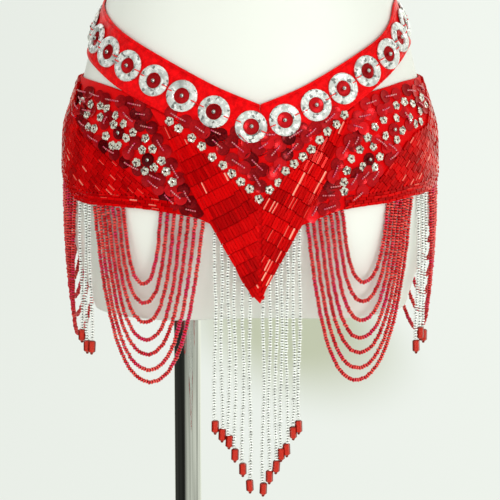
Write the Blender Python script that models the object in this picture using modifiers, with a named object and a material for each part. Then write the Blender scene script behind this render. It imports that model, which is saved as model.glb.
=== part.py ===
"""Belly dance hip belt on a limbless dress form with a pole stand.

Blender 4.5, in metres, +Z up. The belt's front faces -Y and +X is the viewer's right. The
origin is the centre of the stand's base, on the floor.

The tables are in millimetres and degrees. Heights are above the hip line, a level HIP_LINE
above the floor. Angles go round the form from the centre front to the centre back, which is
180, on either side: the side is LEFT, the viewer's left, or RIGHT.
"""

import math

import bmesh
import bpy
import numpy as np
from mathutils import Matrix, Vector

MM = 0.001
LEFT, RIGHT = -1, 1
SIDE_NAMES = {LEFT: "left", RIGHT: "right"}

HIP_LINE = 412.0
FULLEST = 58.0          # height of the form's fullest girth
HANG = 0.25             # share of the form's taper that cloth follows below its fullest girth

CLOTH = 2.0             # thickness of every cloth wall
CLEAR = 0.6             # form to the first layer of cloth
OVERLAP_LIFT = 2.5      # extra for the band and the V panel, which lie on the hip panels
EASE_FROM, EASE_TO = 45.0, 70.0    # angles between which the band comes back to the form
SEAM = 0.35             # gap between pieces that are sewn edge to edge
FRONT_SEAM, BACK_SEAM = 0.06, 179.93    # angles of the centre seams' edges
HIP_COLUMNS, BAND_COLUMNS = 34, 36
V_COLUMNS = 12          # columns of each half of the V panel
PANEL_ROWS, BAND_ROWS = 8, 3
PANEL_LEAST, EDGING_LEAST = 2.0, 2.5    # least height of the V panel and its edging at a shoulder
COLUMN_GAP = 0.5        # least angle between a hem strip's end and the column next to it
SEAT = 0.5              # gap under a hard piece sewn on cloth

HEM_STRIP = 4.5         # height of the hem strip that the strands are fused into
EDGING_RISE = 8.0       # height of the V edging, measured straight up its steep edge
STRAND_ROOT = 2.4       # how far a strand's root reaches up into its strip
STRAND_OUT = 2.3        # form to the middle of a strand at the hem
RED_STRAND = 1.4        # radius of a strand of red seed beads
SILVER_STRAND = 1.2     # radius of a strand of silver beads
DROP_RADIUS, DROP_LENGTH = 3.3, 11.0
DROP_CHAMFER, DROP_TIP = 1.0, 1.4       # height of a drop's chamfer, radius factor of its foot
LOOP_STEPS = 12

ROSETTE_STEPS, ROUND_STEPS, BASE_STEPS = 12, 24, 40
FORM_STATIONS = 64
SHARP_FROM = 40.0       # angle in degrees from which an edge is drawn sharp

POLE_X = -60.0
POLE_RADIUS = 12.5
BASE_RADIUS = 150.0
BASE_THICKNESS, BASE_ROUND = 8.0, 2.0
FLANGE_RADIUS, FLANGE_HEIGHT, FLANGE_ROUND = 19.0, 4.0, 1.5
STAND_GAP = 0.3


def table(columns, *rows):
    """Name the columns of a short table."""
    return dict(zip(columns.split(), np.array(rows, dtype=float).T))


# The dress form, one row for each section.
FORM = table(
    "height width depth hollow",
    (-52, 145, 97, 24),
    (-20, 155, 102, 17),
    (0, 161, 105, 10),
    (30, 167, 108.5, 2),
    (56, 170, 110, 0),
    (103, 169, 109, 0),
    (116, 168, 108, 0),
    (140, 161, 105, 0),
    (164, 153, 101, 0),
    (187, 147, 98, 0),
    (229, 132, 91, 0),
    (265, 122, 86, 0),
    (296, 118, 83, 0),
    (312, 112, 78, 0),
    (322, 92, 63, 0),
    (326, 56, 38, 0),
)
HOLLOW_HALF_ANGLE = 42.0

# The waistband's upper and lower edges.
BAND = {
    LEFT: table(
        "angle top bottom",
        (0, 139.4, 96),
        (12, 153, 110),
        (22, 166, 122.5),
        (33.3, 180.3, 136.5),
        (47.6, 196, 151.5),
        (63, 210, 166.5),
        (82, 225, 181),
        (110, 241, 198),
        (140, 250, 208),
        (180, 254, 213),
    ),
    RIGHT: table(
        "angle top bottom",
        (0, 139.4, 96),
        (12.4, 153.2, 112),
        (19.3, 162.4, 121.5),
        (26.9, 172.6, 133),
        (35.6, 183.7, 146.5),
        (47, 196.8, 162),
        (58, 210.2, 175.3),
        (72, 228, 188),
        (110, 244, 203),
        (140, 251, 209.5),
        (180, 254, 213),
    ),
}

# The V panel's outer edge, from its tip up to the shoulder below the waistband.
V_EDGE = {
    LEFT: table(
        "angle height",
        (0, -32),
        (3, -22),
        (5.5, -11),
        (7.6, 3),
        (10.1, 18),
        (14.8, 40),
        (20.4, 72),
        (25, 100),
        (30.4, 123),
        (34.4, 137),
    ),
    RIGHT: table(
        "angle height",
        (0, -32),
        (3, -11),
        (7.6, 15),
        (12.8, 40.4),
        (16.9, 61),
        (20.7, 93),
        (23.3, 107),
        (28.8, 131),
        (31, 140),
    ),
}

# The hip panels' hem, and their upper edge, which starts tucked under the band.
HEM = {
    LEFT: table(
        "angle height",
        (10, 35),
        (13.2, 36),
        (18, 41.6),
        (25.3, 45.4),
        (34.5, 48.6),
        (48, 49.9),
        (57, 50),
        (65, 52.3),
        (71.5, 58.8),
        (79.5, 68.4),
        (90, 76),
        (104, 74),
        (125, 62),
        (150, 50),
        (180, 44),
    ),
    RIGHT: table(
        "angle height",
        (8.5, 34),
        (11.5, 35),
        (18.1, 41.5),
        (24.6, 47.5),
        (31.2, 50),
        (41.2, 52),
        (52.5, 56),
        (60.9, 57.5),
        (70.7, 62.4),
        (80, 70),
        (90, 76),
        (104, 74),
        (125, 62),
        (150, 50),
        (180, 44),
    ),
}
PANEL_TOP = {
    LEFT: table(
        "angle height",
        (28, 139),
        (36, 144.5),
        (44.2, 148.6),
        (56.5, 155),
        (65.4, 158.2),
        (79.5, 161.4),
        (110, 167),
        (150, 174),
        (180, 176),
    ),
    RIGHT: table(
        "angle height",
        (25, 137),
        (31, 144.5),
        (38.5, 149.5),
        (47.7, 154),
        (57.9, 158.1),
        (75.1, 161.1),
        (110, 167),
        (150, 174),
        (180, 176),
    ),
}

# Nested bead loops: the angles of the two roots of the innermost and of the outermost loop.
SWAGS = {
    "front_swags_left": (LEFT, (29.5, 43.0), (16.4, 56.2)),
    "front_swags_right": (RIGHT, (24.8, 42.2), (13.8, 53.8)),
    "side_swags_left": (LEFT, (89.0, 107.0), (69.0, 129.0)),
    "side_swags_right": (RIGHT, (89.0, 107.0), (69.0, 129.0)),
}
LOOP_BOTTOMS = {
    "front": (-17, -34, -51, -67, -80, -94, -105),
    "side": (22, 5, -12, -28, -45, -62, -80),
}
# Where each hem strip starts and ends; the side swags' strip runs on to the centre back.
STRIP_ENDS = {
    "front_swags": {LEFT: (11.5, 56.9), RIGHT: (10, 56)},
    "side_fringe": {LEFT: (57.1, 67.4), RIGHT: (56.2, 66.4)},
    "side_swags": {LEFT: (67.6, BACK_SEAM), RIGHT: (66.6, BACK_SEAM)},
}
CHORD_PULL = 0.35       # how far a loop's bottom hangs in from the hem's curve to its chord
PULL_FROM, PULL_TO = 40.0, -105.0

# Silver strands with drops: angle of the root, height of the drop's lower end.
CENTRE_STRANDS = table(
    "angle end",
    (-13.0, -146),
    (-11.0, -153),
    (-9.0, -159),
    (-7.3, -171),
    (-5.0, -184),
    (-2.9, -199),
    (0.9, -202),
    (2.7, -191),
    (4.6, -182),
    (6.1, -171),
    (7.8, -167),
    (9.7, -152),
    (11.3, -147),
)
SIDE_STRANDS = {
    LEFT: table("angle end", (58.9, -84), (61.6, -84), (65.2, -75)),
    RIGHT: table("angle end", (58.4, -87), (61.4, -76), (64.2, -79)),
}

ROSETTE_ANGLES = {
    LEFT: (2.6, 13.4, 23.7, 34.1, 45.7, 57.9, 71.6, 87.2, 103, 118.6),
    RIGHT: (7.1, 16.8, 26.6, 37.2, 49.1, 61.3, 75.2, 91.2, 107, 122.5),
}
# Radius and height of the turned ring stone, from its back to the top of its centre bead.
ROSETTE_PROFILE = ((0.0, 0.0), (14.0, 0.0), (13.6, 2.4), (6.4, 3.0), (5.4, 1.2), (0.0, 3.4))

HOOK_SIZE = (18.0, 8.0, 1.2)
BAND_HOOKS = (224, 243)
PANEL_HOOKS = (64, 110, 158)

RED_CLOTH = (0.52, 0.006, 0.012)
RED_BEADS = (0.42, 0.012, 0.025)
SILVER = (0.80, 0.80, 0.78)
CHROME = (0.72, 0.72, 0.73)
PALE_FORM = (0.80, 0.80, 0.76)


def smooth(data, column, at, key):
    """Read a smooth curve through a table's rows, with no overshoot between them."""
    xs, ys = data[key], data[column]
    step = np.diff(xs)
    slope = np.diff(ys) / step
    tangent = np.concatenate(([slope[0]], np.zeros(len(xs) - 2), [slope[-1]]))
    same_way = slope[:-1] * slope[1:] > 0
    before, after = slope[:-1][same_way], slope[1:][same_way]
    tangent[1:-1][same_way] = 2 * before * after / (before + after)
    i = int(np.clip(np.searchsorted(xs, at) - 1, 0, len(xs) - 2))
    u = min(max((at - xs[i]) / step[i], 0.0), 1.0)
    return float(
        (2 * u**3 - 3 * u**2 + 1) * ys[i]
        + (u**3 - 2 * u**2 + u) * step[i] * tangent[i]
        + (3 * u**2 - 2 * u**3) * ys[i + 1]
        + (u**3 - u**2) * step[i] * tangent[i + 1]
    )


def edge(data, angle, column="height"):
    """Height of an outline at an angle."""
    return smooth(data, column, abs(angle), "angle")


def plan_point(angle, section_height, height, out):
    """Point at an angle round the form's section, in millimetres above the floor."""
    width = smooth(FORM, "width", section_height, "height") + out
    depth = smooth(FORM, "depth", section_height, "height") + out
    turn = math.radians(angle)
    return Vector((width * math.sin(turn), -depth * math.cos(turn), HIP_LINE + height))


def form_point(angle, height):
    """Point on the form, with the shallow hollow low on its front."""
    point = plan_point(angle, height, height, 0.0)
    if abs(angle) < HOLLOW_HALF_ANGLE:
        share = math.cos(math.radians(90.0 * angle / HOLLOW_HALF_ANGLE)) ** 2
        point.y += share * smooth(FORM, "hollow", height, "height")
    return point


def cloth_point(angle, height, out):
    """Point on the cloth, which hangs from the fullest girth instead of tapering below it."""
    section = height if height >= FULLEST else FULLEST - HANG * (FULLEST - height)
    return plan_point(angle, section, height, out)


def band_lift(angle):
    """Clearance under the band: over the hip panels at the front, back on the form behind."""
    ease = np.clip((abs(angle) - EASE_FROM) / (EASE_TO - EASE_FROM), 0.0, 1.0)
    share = 1.0 - ease * ease * (3.0 - 2.0 * ease)
    return CLEAR + OVERLAP_LIFT * float(share)


def seat_frame(angle, height, out):
    """Matrix of a place on the cloth: X along it, Z straight out of it."""
    here = cloth_point(angle, height, out)
    along = (cloth_point(angle + 1.0, height, out) - cloth_point(angle - 1.0, height, out)).normalized()
    up = (cloth_point(angle, height + 4.0, out) - cloth_point(angle, height - 4.0, out)).normalized()
    normal = along.cross(up).normalized()
    frame = Matrix((along, normal.cross(along), normal)).transposed().to_4x4()
    frame.translation = here
    return frame


def finish(obj, name, colour, roughness, metallic=0.0):
    """Name an object and give it its own material."""
    obj.name = name
    obj.data.name = name
    material = bpy.data.materials.new(name)
    material.use_nodes = True
    shader = material.node_tree.nodes["Principled BSDF"]
    shader.inputs["Base Color"].default_value = (*colour, 1.0)
    shader.inputs["Roughness"].default_value = roughness
    shader.inputs["Metallic"].default_value = metallic
    obj.data.materials.clear()
    obj.data.materials.append(material)
    obj.data.shade_smooth()
    obj.data.set_sharp_from_angle(angle=math.radians(SHARP_FROM))
    return obj


def new_object(mesh, collection):
    """Put a mesh in the scene."""
    obj = bpy.data.objects.new(mesh.name, mesh)
    collection.objects.link(obj)
    return obj


def grid_mesh(name, columns, closed=False):
    """Mesh of a grid of points in millimetres, given as columns from bottom to top."""
    bm = bmesh.new()
    rows = [[bm.verts.new(point * MM) for point in column] for column in columns]
    pairs = list(zip(rows, rows[1:]))
    if closed:
        pairs.append((rows[-1], rows[0]))
    for left, right in pairs:
        for k in range(len(left) - 1):
            bm.faces.new((left[k], right[k], right[k + 1], left[k + 1]))
    if closed:
        bm.faces.new([column[0] for column in reversed(rows)])
        bm.faces.new([column[-1] for column in rows])
    mesh = bpy.data.meshes.new(name)
    bm.to_mesh(mesh)
    bm.free()
    return mesh


def cloth_wall(name, collection, outline, rows, lift):
    """Cloth wall between two edges: outline holds, from the viewer's left to right, a pair of
    places (angle, height), the lower and the upper end of each column."""
    columns = []
    for low, high in outline:
        ends = np.linspace(low, high, rows + 1)
        columns.append([cloth_point(angle, height, lift(angle)) for angle, height in ends])
    wall = new_object(grid_mesh(name, columns), collection)
    solidify = wall.modifiers.new("Cloth thickness", "SOLIDIFY")
    solidify.thickness = CLOTH * MM
    solidify.offset = 1.0
    solidify.use_even_offset = True
    return wall


def in_order(side, outline):
    """Columns run from the viewer's left to right, so a left piece starts at its far end."""
    signed = [((side * a, za), (side * b, zb)) for (a, za), (b, zb) in outline]
    return signed[::-1] if side == LEFT else signed


def flat_lift(_angle):
    """Clearance under the hip panels and their hem strips."""
    return CLEAR


def waistband(collection, side):
    """Half of the satin band, from the mitre at the centre front to the hooks."""
    outline = []
    for angle in np.linspace(FRONT_SEAM, BACK_SEAM, BAND_COLUMNS + 1):
        low, high = edge(BAND[side], angle, "bottom"), edge(BAND[side], angle, "top")
        outline.append(((angle, low), (angle, high)))
    wall = cloth_wall("band", collection, in_order(side, outline), BAND_ROWS, band_lift)
    return finish(wall, "waistband_" + SIDE_NAMES[side], RED_CLOTH, 0.35)


def v_height(angle):
    """Height of the V panel's outer edge at a signed angle."""
    return edge(V_EDGE[LEFT if angle < 0 else RIGHT], angle)


def band_bottom(angle):
    """Height of the waistband's lower edge at a signed angle."""
    return edge(BAND[LEFT if angle < 0 else RIGHT], angle, "bottom")


def v_reach(side, rise, least):
    """Largest signed angle at which a piece that starts rise above the V's edge keeps at
    least the height least below the band."""
    tries = np.arange(0.0, V_EDGE[side]["angle"][-1], 0.1) * side
    return [a for a in tries if band_bottom(a) - SEAM - v_height(a) - rise >= least][-1]


def v_angles():
    """Signed angles of the V panel's columns, from shoulder to shoulder."""
    left, right = (v_reach(side, EDGING_RISE + 2.0 * SEAM, PANEL_LEAST) for side in (LEFT, RIGHT))
    right_half = np.linspace(0.0, right, V_COLUMNS + 1)
    return [*np.linspace(left, 0.0, V_COLUMNS + 1), *right_half[1:]]


def v_panel(collection):
    """The pointed front panel between the band and its own edging."""
    outline = []
    for angle in v_angles():
        low = v_height(angle) + EDGING_RISE + 2.0 * SEAM
        outline.append(((angle, low), (angle, band_bottom(angle) - SEAM)))
    wall = cloth_wall("v", collection, outline, PANEL_ROWS, band_lift)
    return finish(wall, "front_v_panel", RED_CLOTH, 0.3)


def hem_angles(side):
    """Angles of the hip panel's columns at its hem."""
    return np.linspace(HEM[side]["angle"][0], BACK_SEAM, HIP_COLUMNS + 1)


def hem_height(side, angle):
    """Height of the hem at an angle, straight between the hip panel's columns."""
    stations = hem_angles(side)
    return float(np.interp(angle, stations, [edge(HEM[side], station) for station in stations]))


def hip_panel(collection, side):
    """Side panel from under the V panel's edge to the centre back, above the hem strips."""
    outline = []
    tops = np.linspace(PANEL_TOP[side]["angle"][0], BACK_SEAM, HIP_COLUMNS + 1)
    for low, high in zip(hem_angles(side), tops):
        low_height = hem_height(side, low) + HEM_STRIP + SEAM
        outline.append(((low, low_height), (high, edge(PANEL_TOP[side], high))))
    wall = cloth_wall("hip", collection, in_order(side, outline), PANEL_ROWS, flat_lift)
    return finish(wall, "hip_panel_" + SIDE_NAMES[side], RED_CLOTH, 0.3)


def hem_strip(collection, side, ends):
    """Strip of the hem that a group of strands is fused into."""
    first, last = ends[0] + COLUMN_GAP, ends[1] - COLUMN_GAP
    between = [angle for angle in hem_angles(side) if first < angle < last]
    outline = []
    for angle in (ends[0], *between, ends[1]):
        low = hem_height(side, angle)
        outline.append(((angle, low), (angle, low + HEM_STRIP)))
    return cloth_wall("strip", collection, in_order(side, outline), 1, flat_lift)


def v_edging(collection):
    """Edging of the V panel, from shoulder to shoulder through the tip."""
    outline = []
    left, right = (v_reach(side, 0.0, EDGING_LEAST) for side in (LEFT, RIGHT))
    for angle in (left, *v_angles(), right):
        low = v_height(angle)
        outline.append(((angle, low), (angle, min(low + EDGING_RISE, band_bottom(angle) - SEAM))))
    return cloth_wall("edging", collection, outline, 1, band_lift)


def strand_curve(strands, radius):
    """Curve of plain strands: each is a list of places in millimetres with a radius factor."""
    curve = bpy.data.curves.new("strands", "CURVE")
    curve.dimensions = "3D"
    curve.bevel_depth = radius * MM
    curve.bevel_resolution = 0
    curve.use_fill_caps = True
    for strand in strands:
        spline = curve.splines.new("POLY")
        spline.points.add(len(strand) - 1)
        for point, (place, factor) in zip(spline.points, strand):
            point.co = (*(place * MM), 1.0)
            point.radius = factor
    return curve


def fuse_strands(backing, strands, radius, cutters):
    """Join strands to their backing with a Boolean union."""
    guide = new_object(strand_curve(strands, radius), cutters)
    bpy.context.view_layer.update()
    evaluated = guide.evaluated_get(bpy.context.evaluated_depsgraph_get())
    mesh = bpy.data.meshes.new_from_object(evaluated)
    bm = bmesh.new()
    bm.from_mesh(mesh)
    bmesh.ops.remove_doubles(bm, verts=bm.verts, dist=0.00001)
    bm.to_mesh(mesh)
    bm.free()
    tool = new_object(mesh, cutters)
    tool.matrix_world = guide.matrix_world
    bpy.data.objects.remove(guide)
    tool.name = "strands_of_" + backing.name
    tool.hide_render = True
    tool.display_type = "WIRE"
    union = backing.modifiers.new("Strands", "BOOLEAN")
    union.operation = "UNION"
    union.solver = "EXACT"
    union.object = tool


def catenary(span, depth):
    """Places along a hanging loop, as shares of the span and heights above its lowest point,
    a step of equal turn apart."""
    low, high = span / 40.0, span * 4.0
    for _ in range(60):
        scale = 0.5 * (low + high)
        if scale * (math.cosh(span / (2.0 * scale)) - 1.0) > depth:
            low = scale
        else:
            high = scale
    steepest = math.atan(math.sinh(span / (2.0 * scale)))
    places = []
    for turn in np.linspace(-steepest, steepest, LOOP_STEPS + 1):
        across = scale * math.asinh(math.tan(turn))
        places.append((0.5 + across / span, scale * (1.0 / math.cos(turn) - 1.0)))
    return places


def loop_strand(side, roots, bottom):
    """One bead loop between two roots on the hem."""
    heights = [hem_height(side, angle) for angle in roots]
    ends = [cloth_point(side * angle, height, STRAND_OUT) for angle, height in zip(roots, heights)]
    along = [cloth_point(side * angle, heights[0], STRAND_OUT) for angle in np.linspace(*roots, 9)]
    span = sum((a - b).length for a, b in zip(along, along[1:]))
    middle = 0.5 * sum(heights)
    strand = [(ends[0] + Vector((0.0, 0.0, STRAND_ROOT)), 1.0)]
    for share, rise in catenary(span, middle - bottom):
        level = bottom + rise + (heights[0] - middle) * (1.0 - share) + (heights[1] - middle) * share
        place = cloth_point(side * (roots[0] + (roots[1] - roots[0]) * share), level, STRAND_OUT)
        pull = CHORD_PULL * min(max((PULL_FROM - level) / (PULL_FROM - PULL_TO), 0.0), 1.0)
        chord = ends[0].lerp(ends[1], share)
        place.x += pull * (chord.x - place.x)
        place.y += pull * (chord.y - place.y)
        strand.append((place, 1.0))
    strand.append((ends[1] + Vector((0.0, 0.0, STRAND_ROOT)), 1.0))
    return strand


def swags(collection, cutters, name):
    """A hem strip with its nested bead loops."""
    side, inner, outer = SWAGS[name]
    group = name.rsplit("_", 1)[0]
    bottoms = LOOP_BOTTOMS["front" if name.startswith("front") else "side"]
    strands = []
    for i, bottom in enumerate(bottoms):
        share = i / (len(bottoms) - 1)
        roots = [a + (b - a) * share for a, b in zip(inner, outer)]
        strands.append(loop_strand(side, roots, bottom))
    strip = hem_strip(collection, side, STRIP_ENDS[group][side])
    finish(strip, name, RED_BEADS, 0.3)
    fuse_strands(strip, strands, RED_STRAND, cutters)


def drop_strand(root, end):
    """A straight strand that ends in a drop, with radii as factors of the strand's own."""
    fat = DROP_RADIUS / SILVER_STRAND
    top = end + DROP_LENGTH
    levels = ((top, 1.0), (top - DROP_CHAMFER, fat), (end + DROP_CHAMFER, fat), (end, DROP_TIP))
    strand = [(root + Vector((0.0, 0.0, STRAND_ROOT)), 1.0)]
    strand += [(Vector((root.x, root.y, HIP_LINE + level)), factor) for level, factor in levels]
    return strand


def side_fringe(collection, cutters, side):
    """A short hem strip with straight silver strands."""
    strands = []
    for angle, end in zip(SIDE_STRANDS[side]["angle"], SIDE_STRANDS[side]["end"]):
        root = cloth_point(side * angle, hem_height(side, angle), STRAND_OUT)
        strands.append(drop_strand(root, end))
    strip = hem_strip(collection, side, STRIP_ENDS["side_fringe"][side])
    finish(strip, "side_fringe_" + SIDE_NAMES[side], SILVER, 0.25, 0.6)
    fuse_strands(strip, strands, SILVER_STRAND, cutters)


def centre_fringe(collection, cutters):
    """The V edging with the silver strands that hang from its point."""
    out = band_lift(0.0) + 0.5 * CLOTH
    strands = []
    for angle, end in zip(CENTRE_STRANDS["angle"], CENTRE_STRANDS["end"]):
        strands.append(drop_strand(cloth_point(angle, v_height(angle), out), end))
    edging = v_edging(collection)
    finish(edging, "centre_fringe", SILVER, 0.25, 0.6)
    fuse_strands(edging, strands, SILVER_STRAND, cutters)


def turned(name, collection, profile, steps):
    """Solid turned round Z from a profile of radius and height, from its foot to its top."""
    bm = bmesh.new()
    verts = [bm.verts.new((radius * MM, 0.0, height * MM)) for radius, height in reversed(profile)]
    for upper, lower in zip(verts, verts[1:]):
        bm.edges.new((upper, lower))
    mesh = bpy.data.meshes.new(name)
    bm.to_mesh(mesh)
    bm.free()
    obj = new_object(mesh, collection)
    screw = obj.modifiers.new("Turn", "SCREW")
    screw.steps = screw.render_steps = steps
    screw.use_merge_vertices = True
    screw.merge_threshold = 0.00005
    return obj


def rosettes(collection, side):
    """Ring stones along the middle of the waistband."""
    for number, angle in enumerate(ROSETTE_ANGLES[side], start=1):
        middle = 0.5 * (edge(BAND[side], angle, "top") + edge(BAND[side], angle, "bottom"))
        stone = turned("rosette", collection, ROSETTE_PROFILE, ROSETTE_STEPS)
        signed = side * angle
        stone.matrix_world = seat_frame(signed, middle, band_lift(signed) + CLOTH + SEAT)
        finish(stone, "rosette_%s_%02d" % (SIDE_NAMES[side], number), SILVER, 0.12, 0.6)
        stone.location *= MM


def hooks(collection):
    """Flat hook plates that close the band and the hip panels at the centre back."""
    rows = [("band_hook", number, height) for number, height in enumerate(BAND_HOOKS, start=1)]
    rows += [("panel_hook", number, height) for number, height in enumerate(PANEL_HOOKS, start=1)]
    for kind, number, height in rows:
        bpy.ops.mesh.primitive_cube_add(size=1.0)
        plate = bpy.context.object
        plate.data.transform(Matrix.Diagonal((*(size * MM for size in HOOK_SIZE), 1.0)))
        for owner in plate.users_collection:
            owner.objects.unlink(plate)
        collection.objects.link(plate)
        out = CLEAR + CLOTH + SEAT + 0.5 * HOOK_SIZE[2]
        plate.matrix_world = seat_frame(180.0, height, out)
        plate.location *= MM
        finish(plate, "%s_%d" % (kind, number), SILVER, 0.3, 0.9)


def dress_form(collection):
    """Smooth form from the waist to the top of the thigh, closed and flat underneath."""
    heights = (-52, -36, -18, 0, 18, 37, 56, 80, 103, 122, 140, 164, 187, 215, 243, 270, 296, 312, 322, 326)
    columns = []
    for k in range(FORM_STATIONS):
        angle = -180.0 + 360.0 * k / FORM_STATIONS
        columns.append([form_point(angle, height) for height in heights])
    form = new_object(grid_mesh("form", columns, closed=True), collection)
    return finish(form, "dress_form", PALE_FORM, 0.35)


def stand(collection):
    """Round base, pole and the flange under the form."""
    form_foot = HIP_LINE + FORM["height"][0]
    base = turned("base", collection, (
        (0.0, 0.0),
        (BASE_RADIUS, 0.0),
        (BASE_RADIUS, BASE_THICKNESS - BASE_ROUND),
        (BASE_RADIUS - BASE_ROUND, BASE_THICKNESS),
        (0.0, BASE_THICKNESS),
    ), BASE_STEPS)
    finish(base, "stand_base", CHROME, 0.15, 1.0)
    flange_top = form_foot - STAND_GAP
    flange_foot = flange_top - FLANGE_HEIGHT
    flange = turned("flange", collection, (
        (0.0, 0.0),
        (FLANGE_RADIUS - FLANGE_ROUND, 0.0),
        (FLANGE_RADIUS, FLANGE_ROUND),
        (FLANGE_RADIUS, FLANGE_HEIGHT),
        (0.0, FLANGE_HEIGHT),
    ), ROUND_STEPS)
    flange.location = (POLE_X * MM, 0.0, flange_foot * MM)
    finish(flange, "stand_flange", CHROME, 0.2, 1.0)
    pole_foot = BASE_THICKNESS + STAND_GAP
    pole_top = flange_foot - STAND_GAP
    bpy.ops.mesh.primitive_cylinder_add(
        vertices=ROUND_STEPS,
        radius=POLE_RADIUS * MM,
        depth=(pole_top - pole_foot) * MM,
        location=(POLE_X * MM, 0.0, 0.5 * (pole_top + pole_foot) * MM),
    )
    pole = bpy.context.object
    for owner in pole.users_collection:
        owner.objects.unlink(pole)
    collection.objects.link(pole)
    finish(pole, "stand_pole", CHROME, 0.08, 1.0)


def new_collection(name):
    """Collection linked to the scene."""
    collection = bpy.data.collections.new(name)
    bpy.context.scene.collection.children.link(collection)
    return collection


def main():
    """Clear the scene and build every piece."""
    for obj in list(bpy.data.objects):
        bpy.data.objects.remove(obj)
    belt = new_collection("Hip belt on a dress form")
    cutters = new_collection("Strands to be fused")
    dress_form(belt)
    stand(belt)
    for side in (LEFT, RIGHT):
        waistband(belt, side)
        hip_panel(belt, side)
        side_fringe(belt, cutters, side)
        rosettes(belt, side)
    v_panel(belt)
    centre_fringe(belt, cutters)
    for name in SWAGS:
        swags(belt, cutters, name)
    hooks(belt)


main()
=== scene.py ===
"""Looks of the belly dance hip belt on its dress form: cloth, beads, sequins, stones and stage.

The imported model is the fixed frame. The tables are in millimetres and degrees, as in the part's
source: heights are above the hip line, and angles go round the form from the centre front.
A signed angle is negative on the viewer's left. Meshes are made in metres.
"""

import math

import bpy
import numpy as np
from bpy.props import FloatProperty, FloatVectorProperty, PointerProperty
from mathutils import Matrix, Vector


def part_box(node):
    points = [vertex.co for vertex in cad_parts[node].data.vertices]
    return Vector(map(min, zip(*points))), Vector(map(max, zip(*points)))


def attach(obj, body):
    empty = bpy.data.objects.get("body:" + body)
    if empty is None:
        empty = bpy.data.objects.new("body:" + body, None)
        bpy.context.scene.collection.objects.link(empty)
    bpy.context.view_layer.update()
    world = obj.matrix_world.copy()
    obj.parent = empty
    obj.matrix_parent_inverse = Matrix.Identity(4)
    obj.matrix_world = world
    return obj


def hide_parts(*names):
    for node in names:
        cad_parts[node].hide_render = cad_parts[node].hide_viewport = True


bl_info = {
    "name": "Beaded hip belt",
    "version": (1, 0, 0),
    "blender": (4, 5, 0),
    "location": "View3D > Sidebar > Hip belt",
    "description": "Dresses the hip belt's solids with cloth, beads, sequins and stones",
    "category": "Object",
}

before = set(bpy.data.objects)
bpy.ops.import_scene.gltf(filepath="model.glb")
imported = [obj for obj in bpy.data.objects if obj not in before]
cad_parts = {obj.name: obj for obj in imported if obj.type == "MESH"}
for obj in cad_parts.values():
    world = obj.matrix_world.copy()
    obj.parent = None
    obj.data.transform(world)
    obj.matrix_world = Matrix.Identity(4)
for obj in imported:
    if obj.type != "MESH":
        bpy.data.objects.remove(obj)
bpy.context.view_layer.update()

MM = 0.001
LEFT, RIGHT = -1, 1
SIDES = {LEFT: "left", RIGHT: "right"}

FORM_FOOT = -52.0       # height of the form's flat underside
HIP_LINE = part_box("dress_form")[0].z / MM - FORM_FOOT
FULLEST = 58.0          # height of the form's fullest girth
HANG = 0.25             # share of the form's taper that cloth follows below it

CLOTH = 2.0             # thickness of the cloth walls
CLEAR = 0.6             # form to the first layer of cloth
OVERLAP_LIFT = 2.5      # extra for the band and the V panel, which lie on the hip panels
EASE_FROM, EASE_TO = 45.0, 70.0         # angles between which the band comes back to the form
FRONT_SEAM, BACK_SEAM = 0.06, 179.93    # angles of the centre seams' edges
SEAM = 0.35             # gap between pieces that are sewn edge to edge
SEAT = 0.5              # gap under a hard piece sewn on cloth
SHOULDER_LEAST = 2.5    # least height of the V panel at a shoulder
BAND_DEGREE, HEM_DEGREE = 2.75, 2.9     # millimetres along the cloth for a degree
STRAND_OUT = 2.3        # form to the middle of a strand at the hem
CHORD_PULL = 0.35       # how far a loop's bottom hangs in from the hem's curve to its chord
PULL_FROM, PULL_TO = 40.0, -105.0       # heights between which it comes in
HOLLOW_HALF_ANGLE = 42.0                # how far the form's front hollow reaches round
STONE_SIDES = 24        # sectors of facets round a ring stone


def table(columns, *rows):
    """Name the columns of a short table."""
    return dict(zip(columns.split(), np.array(rows, dtype=float).T))


# The dress form, one row for each section.
FORM = table(
    "height width depth hollow",
    (-52, 145, 97, 24), (-20, 155, 102, 17), (0, 161, 105, 10), (30, 167, 108.5, 2),
    (56, 170, 110, 0), (103, 169, 109, 0), (116, 168, 108, 0), (140, 161, 105, 0),
    (164, 153, 101, 0), (187, 147, 98, 0), (229, 132, 91, 0), (265, 122, 86, 0),
    (296, 118, 83, 0), (312, 112, 78, 0), (322, 92, 63, 0), (326, 56, 38, 0),
)

# The waistband's upper and lower edges.
BAND = {
    LEFT: table(
        "angle top bottom",
        (0, 139.4, 96), (12, 153, 110), (22, 166, 122.5), (33.3, 180.3, 136.5),
        (47.6, 196, 151.5), (63, 210, 166.5), (82, 225, 181), (110, 241, 198), (140, 250, 208),
        (180, 254, 213),
    ),
    RIGHT: table(
        "angle top bottom",
        (0, 139.4, 96), (12.4, 153.2, 112), (19.3, 162.4, 121.5), (26.9, 172.6, 133),
        (35.6, 183.7, 146.5), (47, 196.8, 162), (58, 210.2, 175.3), (72, 228, 188),
        (110, 244, 203), (140, 251, 209.5), (180, 254, 213),
    ),
}

# The V panel's outer edge, from its tip up to the shoulder below the waistband.
V_EDGE = {
    LEFT: table(
        "angle height",
        (0, -32), (3, -22), (5.5, -11), (7.6, 3), (10.1, 18), (14.8, 40), (20.4, 72), (25, 100),
        (30.4, 123), (34.4, 137),
    ),
    RIGHT: table(
        "angle height",
        (0, -32), (3, -11), (7.6, 15), (12.8, 40.4), (16.9, 61), (20.7, 93), (23.3, 107),
        (28.8, 131), (31, 140),
    ),
}

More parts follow.
